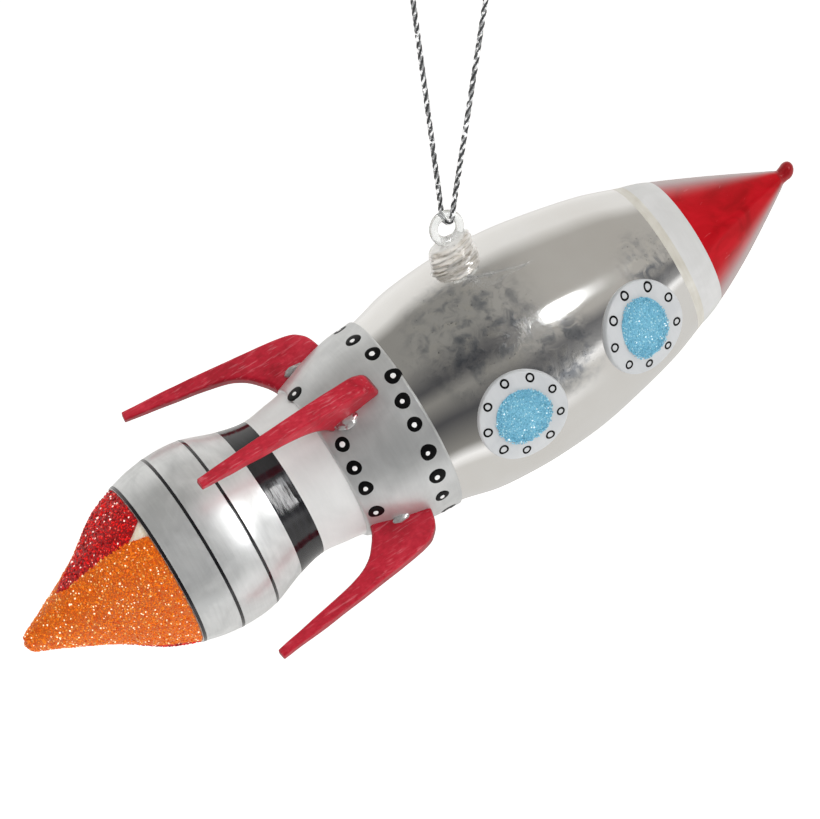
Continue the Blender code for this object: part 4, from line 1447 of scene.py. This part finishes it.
def make_lights():
    """Soft light from beside the camera and from above, and a lamp that lights only some pieces."""
    beside, over = room_axes()
    ahead = AXIS * 0.47 + beside * 0.88
    near = add_softbox("soft_box", ahead, size=(0.40, 0.40), watts=2.3, distance=0.95)
    above = Vector((-0.25, -0.2, 1.0))
    overhead = add_softbox("overhead", above, size=(0.9, 0.9), watts=4.5, distance=1.1)
    for light in (near, overhead):
        light.visible_glossy = False
    below = AXIS * 0.50 + beside * 0.86 - over * 0.20
    streak = add_softbox("streak_box", below, size=(0.10, 0.34), watts=0.95, distance=0.5)
    shiny = bpy.data.collections.new("streak_box_lights")
    for name in STREAK_LIT:
        shiny.objects.link(bpy.data.objects[name])
    streak.light_linking.receiver_collection = shiny


class Surroundings(Nodes):
    """The world, as seen in mirrors and, apart from that, by the camera."""

    def __init__(self):
        world = bpy.data.worlds.new("studio")
        bpy.context.scene.world = world
        world.use_nodes = True
        self.tree = world.node_tree
        self.tree.nodes.clear()
        self.toward = self.node("ShaderNodeTexCoord").outputs["Generated"]

    def along(self, direction):
        """How far the view leans towards a direction, from -1 to 1."""
        inputs = {0: self.toward, 1: direction}
        return self.node("ShaderNodeVectorMath", inputs, operation="DOT_PRODUCT").outputs["Value"]

    def ring(self, turn, *stops):
        """Greys by angle round the rocket's axis, in degrees up from the camera."""
        return self.ramp(turn, *((0.5 + degrees / 360, colour) for degrees, colour in stops))

    def background(self, colour):
        return self.node("ShaderNodeBackground", {"Color": colour}).outputs["Background"]


def make_world():
    """White paper round the rocket, and a dim room with a soft box behind the camera to mirror."""
    room = Surroundings()
    beside, over = room_axes()
    angle = room.math("ARCTAN2", room.along(over), room.along(beside))
    turn = room.span(angle, -pi, pi, kind="LINEAR")
    white, paper, pale, bright = (0.87, 0.86, 0.84), (0.65, 0.64, 0.62), (0.76, 0.75, 0.73), (1.0, 1.0, 1.0)
    taupe, dim, dark = (0.42, 0.405, 0.38), (0.25, 0.245, 0.23), (0.07, 0.07, 0.075)
    ahead = room.ring(
        turn, (-180, paper), (-62, paper), (-52, bright), (-44, (0.30, 0.30, 0.30)),
        (-24, (0.14, 0.14, 0.145)), (-10, taupe), (84, taupe), (108, pale), (142, pale), (160, white),
        (180, paper),
    )
    astern = room.ring(
        turn, (-180, paper), (-92, paper), (-80, bright), (-68, dim), (-32, dark), (-8, dim), (8, dark),
        (40, dim), (88, dim), (108, pale), (150, white), (180, paper),
    )
    lean = room.along(AXIS)
    shown = room.mix(room.span(lean, 0.05, 0.50), astern, ahead)
    up = room.math("DIVIDE", room.math("SUBTRACT", angle, SOFT_BOX_UP), SOFT_BOX_HALF_HEIGHT)
    ahead_of = room.math("DIVIDE", room.math("SUBTRACT", lean, SOFT_BOX_AHEAD), SOFT_BOX_HALF_WIDTH)
    square = room.plus(room.math("POWER", up, 4.0), room.math("POWER", ahead_of, 4.0))
    shown = room.mix(room.span(square, 0.1, 1.8, 1.0, 0.0), shown, SOFT_BOX_LIGHT)
    seen = room.node("ShaderNodeLightPath").outputs["Is Camera Ray"]
    inputs = {"Fac": seen, 1: room.background(shown), 2: room.background((1.0, 1.0, 1.0))}
    choose = room.node("ShaderNodeMixShader", inputs)
    room.node("ShaderNodeOutputWorld", {"Surface": choose.outputs["Shader"]})


def make_floor():
    """A plain pale floor well below the rocket."""
    half, drop = 4.0, 0.30
    height = cad_low.z - drop
    corners = [(-half, -half, height), (half, -half, height), (half, half, height), (-half, half, height)]
    mesh = bpy.data.meshes.new("floor")
    mesh.from_pydata(corners, [], [(0, 1, 2, 3)])
    paint = Paint("floor_white")
    paint.set(Base_Color=(0.86, 0.86, 0.86), Roughness=0.9)
    paint.set(Emission_Color=(1.0, 1.0, 1.0), Emission_Strength=0.62)
    mesh.materials.append(paint.material)
    floor = bpy.data.objects.new("floor", mesh)
    bpy.context.scene.collection.objects.link(floor)
    floor.visible_glossy = False


noise.seed_set(NOISE_SEED)
make_materials()
make_envelope()
make_nose()
make_flame()
make_fins()
make_welds()
make_rivets()
make_portholes()
make_lump()
make_ring()
make_cord()
make_world()
make_lights()
make_floor()
make_camera()
bpy.context.scene.view_settings.view_transform = "Standard"
